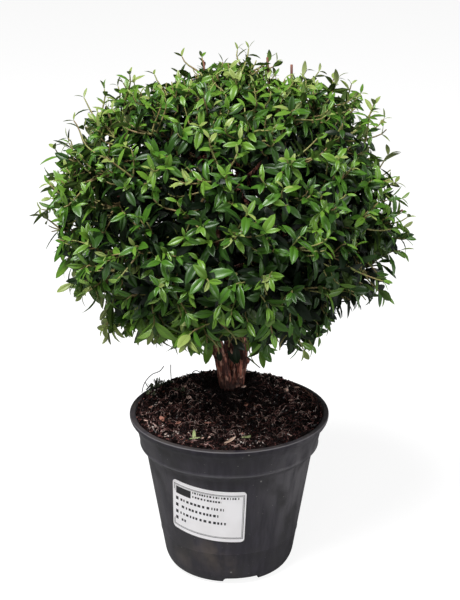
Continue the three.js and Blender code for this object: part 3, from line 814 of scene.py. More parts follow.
def make_wood():
    parts = []
    for stem in stems:
        steps = slice(20, stem.last + 1, 4)
        parts.append(tubes(stem.line[steps][None], stem.radii[steps][None], 24))
    heights = GROUND + np.array((-2.0, 0, 1.5, 4.5, 8, 11, 15))
    widths = np.array((9.0, 8.6, 8.0, 7.2, 6.4, 5.2, 3.0))
    butt = np.stack([np.full(7, TRUNK_X), np.full(7, TRUNK_Y), heights], 1)
    parts.append(tubes(butt[None], widths[None], 32))
    knob = np.array([(10, 36, 152.5), (13.6, 35.8, 151.4), (15.6, 35.6, 150.4)])
    parts.append(tubes(knob[None], np.array([[3.4, 2.9, 1.6]]), 16))
    points, walls, caps, count = [], [], [], 0
    for part_points, (part_walls, part_caps) in parts:
        points.append(part_points)
        walls.append(part_walls + count)
        caps.append(part_caps + count)
        count += len(part_points)
    reddish = bark()
    wood = make_piece("trunk_and_stems", np.vstack(points), [np.vstack(walls), np.vstack(caps)], reddish)
    fuse = wood.modifiers.new("fuse", "REMESH")
    fuse.mode = "VOXEL"
    fuse.voxel_size = 0.55 * MM
    apply_modifiers(wood)
    # carve it: upright strips and a few burrs, finer higher up, and a cleft between the two stems
    mesh = wood.data
    place = vertex_values(mesh, "co") / MM
    stretched = place * np.float32((1, 1, 0.16))
    cleft_depth, cleft_width = 2.2, 1.8
    ridges = 1 - np.abs(lattice_noise(stretched / 2.6, 11)) * 2
    strands = lattice_noise(stretched / 1.2, 12)
    burrs = lattice_noise(place / 6.0, 13)
    thin = np.clip(1.25 - (place[:, 2] - 150) / 80, 0.35, 1)
    grown_half_lit = (0.8 * ridges + 0.5 * strands + 0.6 * burrs) * thin - 0.45
    valley = np.maximum(np.abs(stem_left.clearance(place)), np.abs(stem_right.clearance(place)))
    grown_half_lit -= cleft_depth * np.exp(-((valley / cleft_width) ** 2)) * (place[:, 2] > GROUND + 3)
    place = place + vertex_values(mesh, "normal") * grown_half_lit[:, None]
    place[:, 2] = np.maximum(place[:, 2], GROUND - 2.0)
    mesh.vertices.foreach_set("co", (place * MM).astype(np.float32).reshape(-1))
    mesh.update()
    mesh.shade_smooth()
    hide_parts("trunk", "stem_left", "stem_right", "stem_middle")
    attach(wood, "root")
    return reddish


reddish_bark = make_wood()

# what is left of a dead twig under the fork
snag = np.array([(13.5, 35.4, 154.2), (17.0, 35.2, 151.6), (20.4, 34.8, 148.6), (24.2, 34.2, 145.4)])
snag_points, snag_faces = tubes(snag[None], np.array([[0.75, 0.6, 0.5, 0.38]]), 8)
snag_piece = make_piece("snag", snag_points, snag_faces, dark_hair)
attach(snag_piece, "root")

# ------------------------------------------------------------------------------------------------
# The crown's wood: boughs that spread from the tip of the middle stem, twigs that fork from them
# and the leafy shoots at the twigs' ends. Each level's tips are spread evenly over a shell of the
# dome and grow from the nearest wood of the level before. Older wood is brown, young shoots green.

REACH, RISE, DROP, SQUARE, LEAN = 134.0, 117.0, 97.0, 2.3, 0.07
LOWEST = -0.93
# the slice through the crown in which it looks widest leans back by 20 degrees
SLICE_UP, SLICE_BACK = 0.942, 0.336
# how far the shears left it, every 10 degrees round its outline from +X over the top
OUTLINE = (0.99, 0.94, 0.915, 0.95, 0.96, 0.92, 0.92, 0.885, 0.945, 0.975, 0.945, 0.91)
OUTLINE += (0.855, 0.925, 0.96, 0.91, 1.02, 0.94, 0.97, 0.96, 0.93, 0.98, 0.87, 1)
OUTLINE += (0.9, 0.885, 0.945, 0.99, 1, 1.03, 1.07, 1.035, 0.96, 1.08, 1.01, 0.99)


def seeded(seed):
    """Evenly spread numbers from 0 to 1, the same ones in the same order for the same seed."""
    state = seed

    def draw():
        nonlocal state
        state = (state + 0x6D2B79F5) & 0xFFFFFFFF
        t = ((state ^ (state >> 15)) * (state | 1)) & 0xFFFFFFFF
        t ^= (t + (((t ^ (t >> 7)) * (t | 61)) & 0xFFFFFFFF)) & 0xFFFFFFFF
        return (t ^ (t >> 14)) / 4294967296

    return draw


def surface_distance(directions):
    """How far the clipped surface is from the crown's middle, before the crown leans."""
    height = np.where(directions[:, 2] >= 0, RISE, DROP)
    across = np.hypot(directions[:, 0], directions[:, 1]) / REACH
    up = np.abs(directions[:, 2]) / height
    even = (across**SQUARE + up**SQUARE) ** (-1 / SQUARE)
    tall = directions[:, 2] * SLICE_UP + directions[:, 1] * SLICE_BACK
    toward = directions[:, 1] * SLICE_UP - directions[:, 2] * SLICE_BACK
    turn = np.degrees(np.arctan2(tall, directions[:, 0])) % 360
    cut = np.interp(turn, np.arange(0, 361, 10), (*OUTLINE, OUTLINE[0]))
    return even * (1 + (cut - 1) * (1 - toward**2))


def share_of(points):
    """How far out points lie, as a share of the way to the clipped surface."""
    offset = points - CROWN_MIDDLE
    offset = offset - offset[:, 2:] * (LEAN, 0, 0)
    return np.linalg.norm(offset, axis=1) / surface_distance(unit(offset))


def spread_tips(count, share, spread, seed, lowest=LOWEST):
    """Tips all over the dome, about a share of the way out to its surface."""
    draw = seeded(seed)
    golden = math.pi * (3 - math.sqrt(5))
    directions, shares = [], []
    for i in range(count):
        z = 1 - (2 * i + 1) / count
        flat = math.sqrt(1 - z * z)
        nudge = np.array((draw() - 0.5, draw() - 0.5, draw() - 0.5)) * spread * 4
        way = np.array((math.cos(i * golden) * flat, math.sin(i * golden) * flat, z)) + nudge
        way /= np.linalg.norm(way)
        own = share * (1 + (draw() - 0.5) * 2 * spread)
        if way[2] > lowest:
            directions.append(way)
            shares.append(own)
    offset = np.array(directions) * (surface_distance(np.array(directions)) * shares)[:, None]
    return CROWN_MIDDLE + offset + offset[:, 2:] * (LEAN, 0, 0)


def grow(parents, tips, gap):
    """Twigs from the nearest parent to each tip, without those that come within a gap of a stem."""
    start = parents[np.linalg.norm(tips[:, None] - parents[None], axis=2).argmin(1)]
    clear = np.ones(len(tips), bool)
    for t in (0.25, 0.5, 0.75, 1.0):
        for stem in stems:
            clear &= stem.clearance(start + (tips - start) * t) > gap
    return start[clear], tips[clear]


def wandering(start, end, draw, sway, steps):
    """Paths from start to end that wander a little sideways."""
    t = np.linspace(0, 1, steps)[None, :, None]
    length = np.linalg.norm(end - start, axis=1)[:, None, None]
    bend = draw.normal(size=(len(start), 1, 3)) * sway * length
    wave = draw.normal(size=(len(start), 1, 3)) * sway * 0.5 * length
    line = start[:, None] + (end - start)[:, None] * t
    return line + bend * np.sin(math.pi * t) + wave * np.sin(2 * math.pi * t)


def make_twigs(name, paths, radii, sides, material):
    points, faces = tubes(paths, radii, sides)
    piece = make_piece(name, points, faces, material)
    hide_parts("crown")
    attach(piece, "root")


def plain_tapers(paths, start, end):
    steps = np.linspace(0, 1, paths.shape[1])
    return np.broadcast_to(start + (end - start) * steps, paths.shape[:2])


wood_draw = np.random.default_rng(17)
heart = stem_middle.line[-1]
top_path = stem_middle.line[stem_middle.last :: 6][None]
make_twigs("crown_stem", top_path, plain_tapers(top_path, 3.0, 2.4), 10, reddish_bark)

bough_from, bough_tips = grow(heart[None], spread_tips(10, 0.56, 0.05, 5), 4.4)
bough_paths = wandering(bough_from, bough_tips, wood_draw, 0.05, 9)
make_twigs("crown_boughs", bough_paths, plain_tapers(bough_paths, 2.6, 1.7), 8, reddish_bark)

branch_from, branch_tips = grow(bough_tips, spread_tips(56, 0.68, 0.05, 11), 3.2)
branch_paths = wandering(branch_from, branch_tips, wood_draw, 0.07, 7)
make_twigs("crown_branches", branch_paths, plain_tapers(branch_paths, 1.7, 1.1), 6, reddish_bark)

twig_from, twig_tips = grow(branch_tips, spread_tips(132, 0.85, 0.03, 23), 2.4)
twig_paths = wandering(twig_from, twig_tips, wood_draw, 0.06, 8)
twig_colours = ((0.17, 0.12, 0.05), (0.1, 0.06, 0.03), (0.24, 0.2, 0.08))
twig_brown = tinted("twig_brown", 0.6, 300, *twig_colours, upright=60)
make_twigs("crown_twigs", twig_paths, plain_tapers(twig_paths, 1.05, 0.55), 5, twig_brown)


def at_widest(across, up):
    """Places in the crown's widest slice, which goes back by 0.357 for every 1 that it rises."""
    across, up = np.array(across, float), np.array(up, float)
    return np.stack([across, CROWN_MIDDLE[1] + (up - CROWN_MIDDLE[2]) * 0.357, up], -1)


# stems that the shears cut short: across and up at the foot and at the cut, and their two radii
CUT_STEMS = (
    (29, 352, 28, 386, 0.95, 0.8),
    (48, 352, 46, 381, 1.1, 0.95),
    (45, 338, 53, 366, 1.25, 1.15),
    (-12, 340, -19, 384, 1.2, 0.55),
    (5, 352, 2, 380, 0.9, 0.75),
    (104, 268, 128, 280, 1.05, 0.8),
    (74, 220, 98, 225, 0.8, 0.6),
    (-20, 352, -24, 372, 0.8, 0.7),
)
cut_colours = ((0.19, 0.075, 0.055), (0.12, 0.045, 0.032), (0.3, 0.16, 0.11))
cut_wood = tinted("cut_wood", 0.6, 300, *cut_colours, upright=80)
for index, (foot_x, foot_z, cut_x, cut_z, foot_radius, cut_radius) in enumerate(CUT_STEMS):
    cut_path = at_widest(np.linspace(foot_x, cut_x, 6), np.linspace(foot_z, cut_z, 6))
    cut_path[1:-1, 0] += np.array((0.5, 1.0, 0.8, 0.4)) * (-1) ** index
    cut_radii = np.linspace(foot_radius, cut_radius, 6)[None]
    make_twigs(f"cut_stem_{index + 1}", cut_path[None], cut_radii, 8, cut_wood)

# ------------------------------------------------------------------------------------------------
# The leafy shoots: thin green stems, up to a finger long, that stand out of the twigs and turn
# up to the light, or hang on the underside. Their leaves sit in opposite pairs, each pair a quarter
# turn on from the one below, full-sized in the middle of the shoot and small at its tip.


def shoot_lines(tips, draw):
    """Curved lines from the nearest twigs out to the given tips, without the longest ones."""
    longest, least_depth = 75, 0.13
    nodes = np.concatenate([twig_paths[:, 1:].reshape(-1, 3), branch_paths[:, 3:].reshape(-1, 3)])
    heading = np.concatenate(
        [
            unit(np.diff(twig_paths, axis=1)).reshape(-1, 3),
            unit(np.diff(branch_paths, axis=1))[:, 2:].reshape(-1, 3),
        ]
    )
    depth = share_of(nodes)
    gaps = np.linalg.norm(tips[:, None] - nodes[None], axis=2)
    too_far_out = depth[None] > share_of(tips)[:, None] - least_depth
    nearest = (gaps + too_far_out * 1000).argmin(1)
    start, way = nodes[nearest], heading[nearest]
    length = np.linalg.norm(tips - start, axis=1)[:, None]
    outward = unit(tips - CROWN_MIDDLE)
    lift = np.interp(outward[:, 2:], (-0.7, -0.2, 0.1, 1), (-0.7, -0.1, 0.7, 0.9))
    ending = unit(outward + lift * np.array((0, 0, 1)) + draw.normal(size=tips.shape) * 0.3)
    one = start + way * length * 0.3
    two = tips - ending * length * 0.35
    t = np.linspace(0, 1, 7)[None, :, None]
    lines = (1 - t) ** 3 * start[:, None] + 3 * t * (1 - t) ** 2 * one[:, None]
    lines = lines + 3 * t * t * (1 - t) * two[:, None] + t**3 * tips[:, None]
    return lines[length[:, 0] < longest]


# where single sprays stand out past the clipped surface, across and up, in its widest slice:
# down the left side, over the top, down the right side and underneath
STRAYS = ((-107, 358), (-92, 364), (-106, 338), (-119, 330), (-128, 322), (-128, 301), (-131, 288))
STRAYS += ((-138, 276), (-131, 265), (-123, 253), (-120, 240), (-116, 229), (-108, 221), (-97, 217))
STRAYS += ((-82, 366), (-70, 368), (-55, 374), (-37, 375), (-20, 386), (6, 391), (20, 384), (35, 383))
STRAYS += ((57, 377), (66, 376), (77, 371), (90, 367), (97, 361), (105, 348), (116, 336), (117, 318))
STRAYS += ((119, 308), (122, 299), (127, 288), (127, 278), (128, 268), (130, 260), (126, 252), (117, 240))
STRAYS += ((109, 234), (99, 225), (-91, 200), (-75, 200), (-66, 196), (-50, 194), (72, 202), (66, 192))
STRAYS += ((58, 190), (44, 187))

grow_draw = np.random.default_rng(29)
shoot_tips = np.vstack(
    [
        spread_tips(1060, 0.915, 0.06, 41, -0.97),
        spread_tips(70, 1.02, 0.04, 53, -0.95),
        spread_tips(480, 0.74, 0.12, 47, -0.9),
        spread_tips(170, 0.52, 0.12, 59, -0.7),
    ]
)
shoot_tips = shoot_tips + grow_draw.normal(size=shoot_tips.shape) * 2.5
# it grew thinner on its left side, where every fifth shoot is missing, and every second one low down
every = np.where(shoot_tips[:, 2] < 262, 2, 5)
thinned = (shoot_tips[:, 0] < -58) & (np.arange(len(shoot_tips)) % every == 0)
shoot_tips = shoot_tips[~thinned]
shoot_paths = shoot_lines(np.vstack([shoot_tips, at_widest(*zip(*STRAYS))]), grow_draw)

shoot_green = tinted("shoot_green", 0.5, 60, (0.24, 0.24, 0.08), (0.19, 0.14, 0.06), (0.2, 0.27, 0.07))
make_twigs("shoots", shoot_paths, plain_tapers(shoot_paths, 0.85, 0.42), 4, shoot_green)

# ------------------------------------------------------------------------------------------------
# The leaves: leathery and glossy, pointed at both ends, folded along the midrib and bent back at
# the tip, paler underneath. Old ones are dark and the youngest pairs at the shoots' tips yellow-green,
# and over that light and shade are painted in: leaves deep in the crown and low on its right darker,
# those on top, low on the left and on the lamp's side brighter.

# along the leaf, and how wide it is there
LEAF_SHAPE = np.array(((0.12, 0.46), (0.36, 0.95), (0.62, 0.94), (0.85, 0.52)))
# across the leaf from edge to edge, and how high each line lies above the midrib for a fold of 1:
# with its turned-down margins, and plain for the many leaves in the crown's shade
LEAF_ACROSS = np.array(((-1, 0.3), (-0.8, 0.44), (-0.4, 0.32), (0, 0), (0.4, 0.32), (0.8, 0.44), (1, 0.3)))
PLAIN_ACROSS = np.array(((-1, 0.42), (0, 0), (1, 0.42)))


def leaf_mesh(roots, along, upward, lengths, widths, folds, bends, across_leaf):
    """Points and faces of folded leaves, each bent along its length into part of a circle."""
    along = unit(along)
    side = unit(np.cross(along, upward))
    face = np.cross(side, along)
    lines, rows = len(across_leaf), len(LEAF_SHAPE)
    t = np.concatenate([[0], np.repeat(LEAF_SHAPE[:, 0], lines), [1]])
    spread = np.outer(LEAF_SHAPE[:, 1], across_leaf[:, 0]).reshape(-1)
    raised = np.outer(LEAF_SHAPE[:, 1], across_leaf[:, 1]).reshape(-1)
    across = np.concatenate([[0], spread, [0]]) * widths[:, None] / 2
    lifted = np.concatenate([[0], raised, [0]]) * (widths * folds)[:, None] / 2
    angle = t * bends[:, None]
    safe = np.where(np.abs(bends) < 1e-3, 1e-3, bends)[:, None]
    forward = np.sin(angle) / safe * lengths[:, None] + lifted * np.sin(angle)
    down = (1 - np.cos(angle)) / safe * lengths[:, None]
    rise = lifted * np.cos(angle) - down
    points = roots[:, None] + along[:, None] * forward[..., None]
    points = points + side[:, None] * across[..., None] + face[:, None] * rise[..., None]
    last = len(t) - 1
    quads, triangles = [], []
    for k in range(lines - 1):
        triangles.append((0, 2 + k, 1 + k))
        triangles.append((last - lines + k, last - lines + k + 1, last))
        for row in range(rows - 1):
            a = 1 + row * lines + k
            quads.append((a, a + 1, a + 1 + lines, a + lines))
    starts = (last + 1) * np.arange(len(roots))[:, None, None]
    quads = (np.array(quads)[None] + starts).reshape(-1, 4)
    triangles = (np.array(triangles)[None] + starts).reshape(-1, 3)
    return points.reshape(-1, 3), [quads, triangles]


def leaf_gloss(name, face, back, roughness, shine):
    """A glossy leaf with a paler, duller underside."""
    material, tree, shader = new_material(name, face, roughness)
    shader.inputs["Specular IOR Level"].default_value = shine
    side = add_node(tree, "ShaderNodeNewGeometry")
    colour = layered(tree, face, (side.outputs["Backfacing"], back))
    tree.links.new(colour, shader.inputs["Base Color"])
    return material


# five leaf colours from dark to bright, which stand for age and for painted light and shade
leaf_kinds = {
    "shaded": leaf_gloss("leaf_shaded", (0.0042, 0.012, 0.003), (0.01, 0.02, 0.006), 0.46, 0.25),
    "old_and_shaded": leaf_gloss("leaf_aged_and_shaded", (0.018, 0.054, 0.006), (0.045, 0.078, 0.018), 0.42, 0.36),
    "grown_half_lit": leaf_gloss("leaf_mature_half_lit", (0.043, 0.120, 0.009), (0.08, 0.145, 0.028), 0.38, 0.4),
    "fresh_and_lit": leaf_gloss("leaf_new_and_lit", (0.097, 0.2, 0.02), (0.14, 0.23, 0.05), 0.38, 0.4),
    "young_and_lit": leaf_gloss("leaf_newest_and_lit", (0.2, 0.262, 0.066), (0.24, 0.29, 0.11), 0.4, 0.4),
}


LEAF_LENGTH = 14.4  # full-grown, on an ordinary shoot
PAIR_GAP = 5.6  # along the shoot from one pair to the next
FEWEST_PAIRS, MOST_PAIRS = 4, 9


def leaves_on(paths, draw):
    """Opposite pairs along each shoot: root, way, face, length, width, fold, bend, order and shoot."""
    rows = []
    steps = paths.shape[1]
    lengths = np.linalg.norm(np.diff(paths, axis=1), axis=2).sum(1)
    pairs = np.clip(np.round(lengths / PAIR_GAP).astype(int), FEWEST_PAIRS, MOST_PAIRS)
    quarter = draw.random(len(paths)) * math.pi
    vigour = 0.8 + 0.4 * draw.random(len(paths))
    for pair in range(pairs.max()):
        own = np.nonzero(pairs > pair)[0]
        order = pair / (pairs[own] - 1)  # 0 at the lowest pair, 1 at the tip
        share = 0.2 + 0.8 * order**0.9
        at = share * (steps - 1)
        low = np.minimum(at.astype(int), steps - 2)
        part = (at - low)[:, None]
        root = paths[own, low] * (1 - part) + paths[own, low + 1] * part
        along = unit(paths[own, low + 1] - paths[own, low])
        reference = unit(np.cross(along, np.where(np.abs(along[:, 2:]) > 0.9, (1, 0, 0), (0, 0, 1))))
        other = np.cross(along, reference)
        turn = quarter[own] + pair * math.pi / 2 + draw.normal(size=len(own)) * 0.2
        across = reference * np.cos(turn)[:, None] + other * np.sin(turn)[:, None]
        size = np.interp(order, (0, 0.35, 0.75, 0.9, 1), (0.85, 1.0, 0.92, 0.75, 0.6))
        open_angle = np.interp(order, (0, 0.7, 1), (1.2, 1.0, 0.5))
        for sign in (1, -1):
            angle = open_angle + draw.normal(size=len(own)) * 0.16
            way = along * np.cos(angle)[:, None] + across * (sign * np.sin(angle))[:, None]
            hang = np.interp(root[:, 2:] - CROWN_MIDDLE[2], (-70, 0), (0.5, 0.1))
            way = unit(way - hang * np.array((0, 0, 1)) + draw.normal(size=way.shape) * 0.08)
            face = along + np.array((0, 0, 0.4)) + draw.normal(size=way.shape) * 0.22
            face = unit(face - way * (face * way).sum(1)[:, None])
            length = LEAF_LENGTH * vigour[own] * size * (0.8 + 0.36 * draw.random(len(own)))
            length *= np.interp(root[:, 2] - CROWN_MIDDLE[2], (-60, 10, 40, 100), (1.26, 1.08, 1.02, 0.88))
            width = length * (0.31 + 0.09 * draw.random(len(own)))
            fold = 0.3 + 0.5 * draw.random(len(own))
            bend = 0.25 + 0.75 * draw.random(len(own))
            rows.append(np.column_stack([root, way, face, length, width, fold, bend, order, own]))
    return np.vstack(rows)


# where the sky shows through between the sprays, in the crown's widest slice: across, up and radius
SKY = ((-47, 374, 6.4), (-112, 332, 5.4), (39, 187, 5.3), (-28, 382, 5.0), (-104, 219, 4.4))
SKY += ((-15, 386, 4.3), (101, 232, 4.2), (-132, 268, 4.0), (106, 240, 3.7), (116, 309, 3.7))
SKY += ((-128, 257, 3.6), (99, 220, 3.5), (21, 384, 3.5), (41, 376, 3.3), (-99, 357, 3.2))
SKY += ((-27, 375, 3.2), (-98, 210, 3.2), (-129, 229, 3.1), (117, 241, 3.1), (1, 387, 3.0))
SKY += ((108, 329, 2.9), (60, 375, 2.8), (-89, 332, 2.8), (127, 275, 2.8), (-71, 196, 2.8))
SKY += ((-104, 353, 2.8), (115, 334, 2.7), (-82, 200, 2.6), (126, 263, 2.6), (90, 217, 2.5))
SKY += ((-79, 366, 2.5), (-67, 369, 2.5), (-112, 224, 2.5), (-131, 279, 2.4), (-114, 271, 2.4))
SKY += ((64, 188, 2.3), (-122, 246, 2.4), (-45, 193, 2.4), (-31, 187, 2.4), (-22, 181, 2.8))
SKY += ((84, 217, 2.4), (74, 212, 2.4))
# where the fork shows under the leaves: across, half its width and its top
FORK_WINDOWS = ((1, 14, 186), (10, 5.5, 194))
FORK_FRONT = 34  # only what is in front of this y can hide it
IN_FRONT = np.array((0.6, -1073.9, 596.7))  # the eye of someone who stands a metre in front of it


def hides_gap(points):
    """Which points hide a gap or the fork from someone in front of the plant."""
    facing = np.array((0, -SLICE_UP, SLICE_BACK))
    sight = points - IN_FRONT
    stretch = ((CROWN_MIDDLE - IN_FRONT) @ facing) / (sight @ facing)
    across, _, up = (IN_FRONT + sight * stretch[:, None]).T
    gap_x, gap_z, radius = np.array(SKY).T
    off = np.hypot(across[:, None] - gap_x, (up[:, None] - gap_z) / SLICE_UP)
    hidden = (off < radius).any(1)
    for middle, half, top in FORK_WINDOWS:
        hidden |= (np.abs(across - middle) < half) & (up < top) & (points[:, 1] < FORK_FRONT)
    return hidden


def keep_in_reach(rows, furthest):
    """Leaves within the crown's reach and off the stems that leave the gaps and the fork in sight."""
    free = 1.0  # from a stem's bark
    middles = rows[:, :3] + rows[:, 3:6] * rows[:, 9:10] / 2
    tips = rows[:, :3] + rows[:, 3:6] * rows[:, 9:10]
    fits = share_of(tips) < furthest
    for stem in stems:
        fits &= stem.clearance(tips) > free
    for points in (rows[:, :3], middles, tips):
        fits &= ~hides_gap(points)
    return rows[fits]


def make_leaves(name, rows, material, across_leaf=LEAF_ACROSS):
    points, faces = leaf_mesh(rows[:, :3], rows[:, 3:6], rows[:, 6:9], *rows[:, 9:13].T, across_leaf)
    piece = make_piece(name, points, faces, material)
    lines = len(across_leaf)
    on_midrib = np.zeros(lines * len(LEAF_SHAPE) + 2, bool)
    on_midrib[[0, -1]] = True
    on_midrib[1 + lines // 2 : -1 : lines] = True
    ends = np.zeros(len(piece.data.edges) * 2, np.int32)
    piece.data.edges.foreach_get("vertices", ends)
    creased = on_midrib[ends.reshape(-1, 2) % len(on_midrib)].all(1)
    piece.data.attributes.new("sharp_edge", "BOOLEAN", "EDGE").data.foreach_set("value", creased)
    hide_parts("crown")
    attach(piece, "root")


leaf_draw = np.random.default_rng(43)
rows = keep_in_reach(leaves_on(shoot_paths, leaf_draw), 1.2)
depth = share_of(rows[:, :3])
lit = unit(rows[:, :3] - CROWN_MIDDLE)[:, 2]  # 1 on top of the crown, -1 underneath
shoot_tone = leaf_draw.normal(size=len(shoot_paths))[rows[:, 14].astype(int)]
tone = 0.5 * shoot_tone + 0.5 * leaf_draw.normal(size=len(rows))
across = np.clip(rows[:, 0] / REACH, 0, 1)
tone -= 1.6 * across * np.clip(-2 * lit, 0, 1)  # the low right side lies in the crown's own shade
tone += 1.1 * (rows[:, 0] < 25) * np.clip(-1.6 * lit, 0, 1)  # and painted light brightens the low left side
# painted shade deep inside the crown, painted light on its top, and brighter young pairs near the tips
tone += (depth - 0.883) * 13 + np.where(lit > 0, 1.2, 0.4) * lit + 1.3 * (rows[:, 13] - 0.5)
tone += 1.5 * np.clip(-rows[:, 0] / REACH - 0.3, 0, 1)  # the lamp's side
kind = np.digitize(tone, (-0.5, 0.5, 1.35, 2.6))  # from shaded to young and lit
most_triangles = 190000
for index, (name, material) in enumerate(leaf_kinds.items()):
    chosen = rows[kind == index]
    across_leaf = LEAF_ACROSS if index else PLAIN_ACROSS
    triangles = len(chosen) * 2 * (len(across_leaf) - 1) * len(LEAF_SHAPE)
    for part, group in enumerate(np.array_split(chosen, math.ceil(triangles / most_triangles))):
        make_leaves(f"leaves_{name}_{part + 1}", group, material, across_leaf)

# single leaves that hang beside and in front of the fork, half of them on two low shoots: root, tip
# and width
LOW_LEAVES = {
    "fresh_and_lit": [
        ((-14.2, 8, 181.0), (-17.8, 5, 158.8), 7.4),
        ((-12.3, 8, 181.5), (5.5, 3, 190.0), 7.2),
        ((-11.5, 8, 181.0), (-5.2, 6, 173.2), 3.4),
        ((23.4, 19, 167.6), (27.5, 17, 151.0), 5.2),
        ((24.2, 19, 167.9), (37.0, 17, 167.4), 3.0),
        ((16.8, 17, 181.0), (14.2, 16, 164.8), 4.4),
    ],
    "grown_half_lit": [
        ((-19.1, 8, 183.0), (-27.4, 5, 168.3), 6.2),
        ((24.0, 19, 167.6), (33.6, 18, 156.5), 6.4),
        ((29.6, 19, 182.5), (20.0, 17, 171.0), 8.0),
    ],
    "shaded": [
        ((-0.2, 16, 177.5), (12.8, 13, 169.0), 6.6),
        ((4.4, 15, 171.5), (6.7, 12, 157.0), 6.4),
        ((-8.6, 16, 167.5), (-6.3, 14, 158.6), 4.6),
        ((-1.7, 16, 168.0), (5.2, 13, 156.8), 3.4),
        ((51.4, 10, 178.9), (44.4, 7, 166.5), 5.6),
        ((42.2, 10, 187.0), (41.0, 8, 175.0), 6.0),
        ((35.5, 12, 184.1), (27.5, 10, 177.0), 5.0),
    ],
}
for name, placed in LOW_LEAVES.items():
    roots = np.array([row[0] for row in placed], float)
    ways = np.array([row[1] for row in placed], float) - roots
    widths = np.array([row[2] for row in placed])
    lengths = np.linalg.norm(ways, axis=1) * 1.04
    facing = np.tile((0.1, -0.85, 0.5), (len(placed), 1))
    plain = np.full(len(placed), 0.45)
    placed_rows = np.column_stack([roots, unit(ways), facing, lengths, widths, plain, plain])
    make_leaves(f"low_leaves_{name}", placed_rows, leaf_kinds[name])
low_shoots = [
    [(-42, 8, 196), (-30, 9, 188.5), (-22, 8.5, 185.2), (-13.8, 8, 181.2)],
    [(2, 26, 178), (10.6, 22, 171.4), (17.5, 20, 169), (24, 19, 167.6)],
]
low_paths = np.stack([rounded_line(line, 12) for line in low_shoots])
make_twigs("low_shoots", low_paths, plain_tapers(low_paths, 0.75, 0.5), 6, shoot_green)

# ------------------------------------------------------------------------------------------------
# The label: a white coated paper sticker with round corners, pressed on to the pot's front, a bit
# left of the middle. Its print is only a thin double frame, a dark block and rows of plain dashes.

LABEL_WIDTH, LABEL_HEIGHT, LABEL_CORNER = 58.4, 45.6, 3.0
LABEL_BACK, LABEL_FACE, INK_FACE = 0.08, 0.36, 0.4  # how far out of the pot's wall
LABEL_MIDDLE = 64.9
LABEL_TURN = math.radians(-106.6)
LABEL_CROOKED = math.radians(-5)


def on_pot(u, v, out):
    """A place on the label: u across it, v up it and out from the pot's wall, in millimetres."""
    tilt = math.atan(body_slope)
    slant = body_radius_at(LABEL_MIDDLE) / math.sin(tilt)
    across = u * math.cos(LABEL_CROOKED) - v * math.sin(LABEL_CROOKED)
    from_tip = slant + u * math.sin(LABEL_CROOKED) + v * math.cos(LABEL_CROOKED)
    away = np.hypot(across, from_tip)
    turn = LABEL_TURN + np.arctan2(across, from_tip) / math.sin(tilt)
    radius = away * math.sin(tilt) + out
    z = LABEL_MIDDLE + (away - slant) * math.cos(tilt)
    return np.stack([np.cos(turn) * radius, np.sin(turn) * radius, z], -1)


def make_label():
    half = LABEL_WIDTH / 2
    corner = LABEL_CORNER * (1 - np.cos(np.linspace(0, math.pi / 2, 7)))
    straight = np.linspace(-half + LABEL_CORNER, half - LABEL_CORNER, 41)[1:-1]
    u = np.concatenate([-half + corner, straight, (half - corner)[::-1]])
    past = np.maximum(0, np.abs(u) - (half - LABEL_CORNER))
    reach = LABEL_HEIGHT / 2 - LABEL_CORNER + np.sqrt(np.maximum(0, LABEL_CORNER**2 - past**2))
    rows = 9
    v = np.linspace(-1, 1, rows)[:, None] * reach
    front = on_pot(u[None], v, LABEL_FACE).reshape(-1, 3)
    back = on_pot(u[None], v, LABEL_BACK).reshape(-1, 3)
    columns = len(u)
    grid = np.arange(rows * columns).reshape(rows, columns)
    a, b, c, d = grid[:-1, :-1], grid[:-1, 1:], grid[1:, 1:], grid[1:, :-1]
    face = np.stack([a, b, c, d], -1).reshape(-1, 4)
    count = rows * columns
    rim = np.concatenate([grid[0, :-1], grid[:-1, -1], grid[-1, :0:-1], grid[:0:-1, 0]])
    after = np.roll(rim, -1)
    edge = np.stack([rim, rim + count, after + count, after], 1)[:, ::-1]
    material, tree, shader = new_material("coated_paper", (0.7, 0.69, 0.7), 0.45)
    handled = mottle(tree, (60, 60, 60), 2.0, (0.35, 0.7))
    shade = layered(tree, (0.94, 0.925, 0.94), (handled, (0.88, 0.86, 0.87)))
    tree.links.new(shade, shader.inputs["Base Color"])
    faces = [face, face[:, ::-1] + count, edge]
    label = make_piece("sticker", np.vstack([front, back]), faces, material)
    label.data.set_sharp_from_angle(angle=math.radians(40))
    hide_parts("label")
    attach(label, "root")


def make_print(name, marks, colour):
    """Flat marks of ink on the label, from rows of left, right, bottom and top."""
    points, quads, count = [], [], 0
    for left, right, bottom, top in marks:
        steps = max(1, math.ceil((right - left) / 1.6))
        u = np.linspace(left, right, steps + 1)
        points += [on_pot(u, np.full(steps + 1, v), INK_FACE) for v in (bottom, top)]
        k = np.arange(steps)
        quads.append(np.stack([k, k + 1, k + steps + 2, k + steps + 1], 1) + count)
        count += 2 * (steps + 1)
    material, tree, shader = new_material(name, colour, 0.6)
    ink = mottle(tree, (2500, 2500, 2500), 2.0, (0.3, 0.7))
    uneven = layered(tree, colour, (ink, tuple(1.6 * c for c in colour)))
    tree.links.new(uneven, shader.inputs["Base Color"])
    piece = make_piece(name, np.vstack(points), [np.vstack(quads)], material)
    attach(piece, "root")


def frame_marks(x, y, line):
    """The four sides of a thin frame, x and y out from the label's middle."""
    return [
        (-x, x, y - line, y),
        (-x, x, -y, line - y),
        (-x, line - x, line - y, y - line),
        (x - line, x, line - y, y - line),
    ]


def dashes(left, right, middle, height, draw, longest):
    """A row of short plain dashes in the place of printed words."""
    marks, u = [], left
    while u < right:
        width = longest * (0.35 + 0.65 * draw.random())
        marks.append((u, min(u + width, right), middle - height / 2, middle + height / 2))
        u += width + longest * (0.3 + 0.5 * draw.random())
    return marks


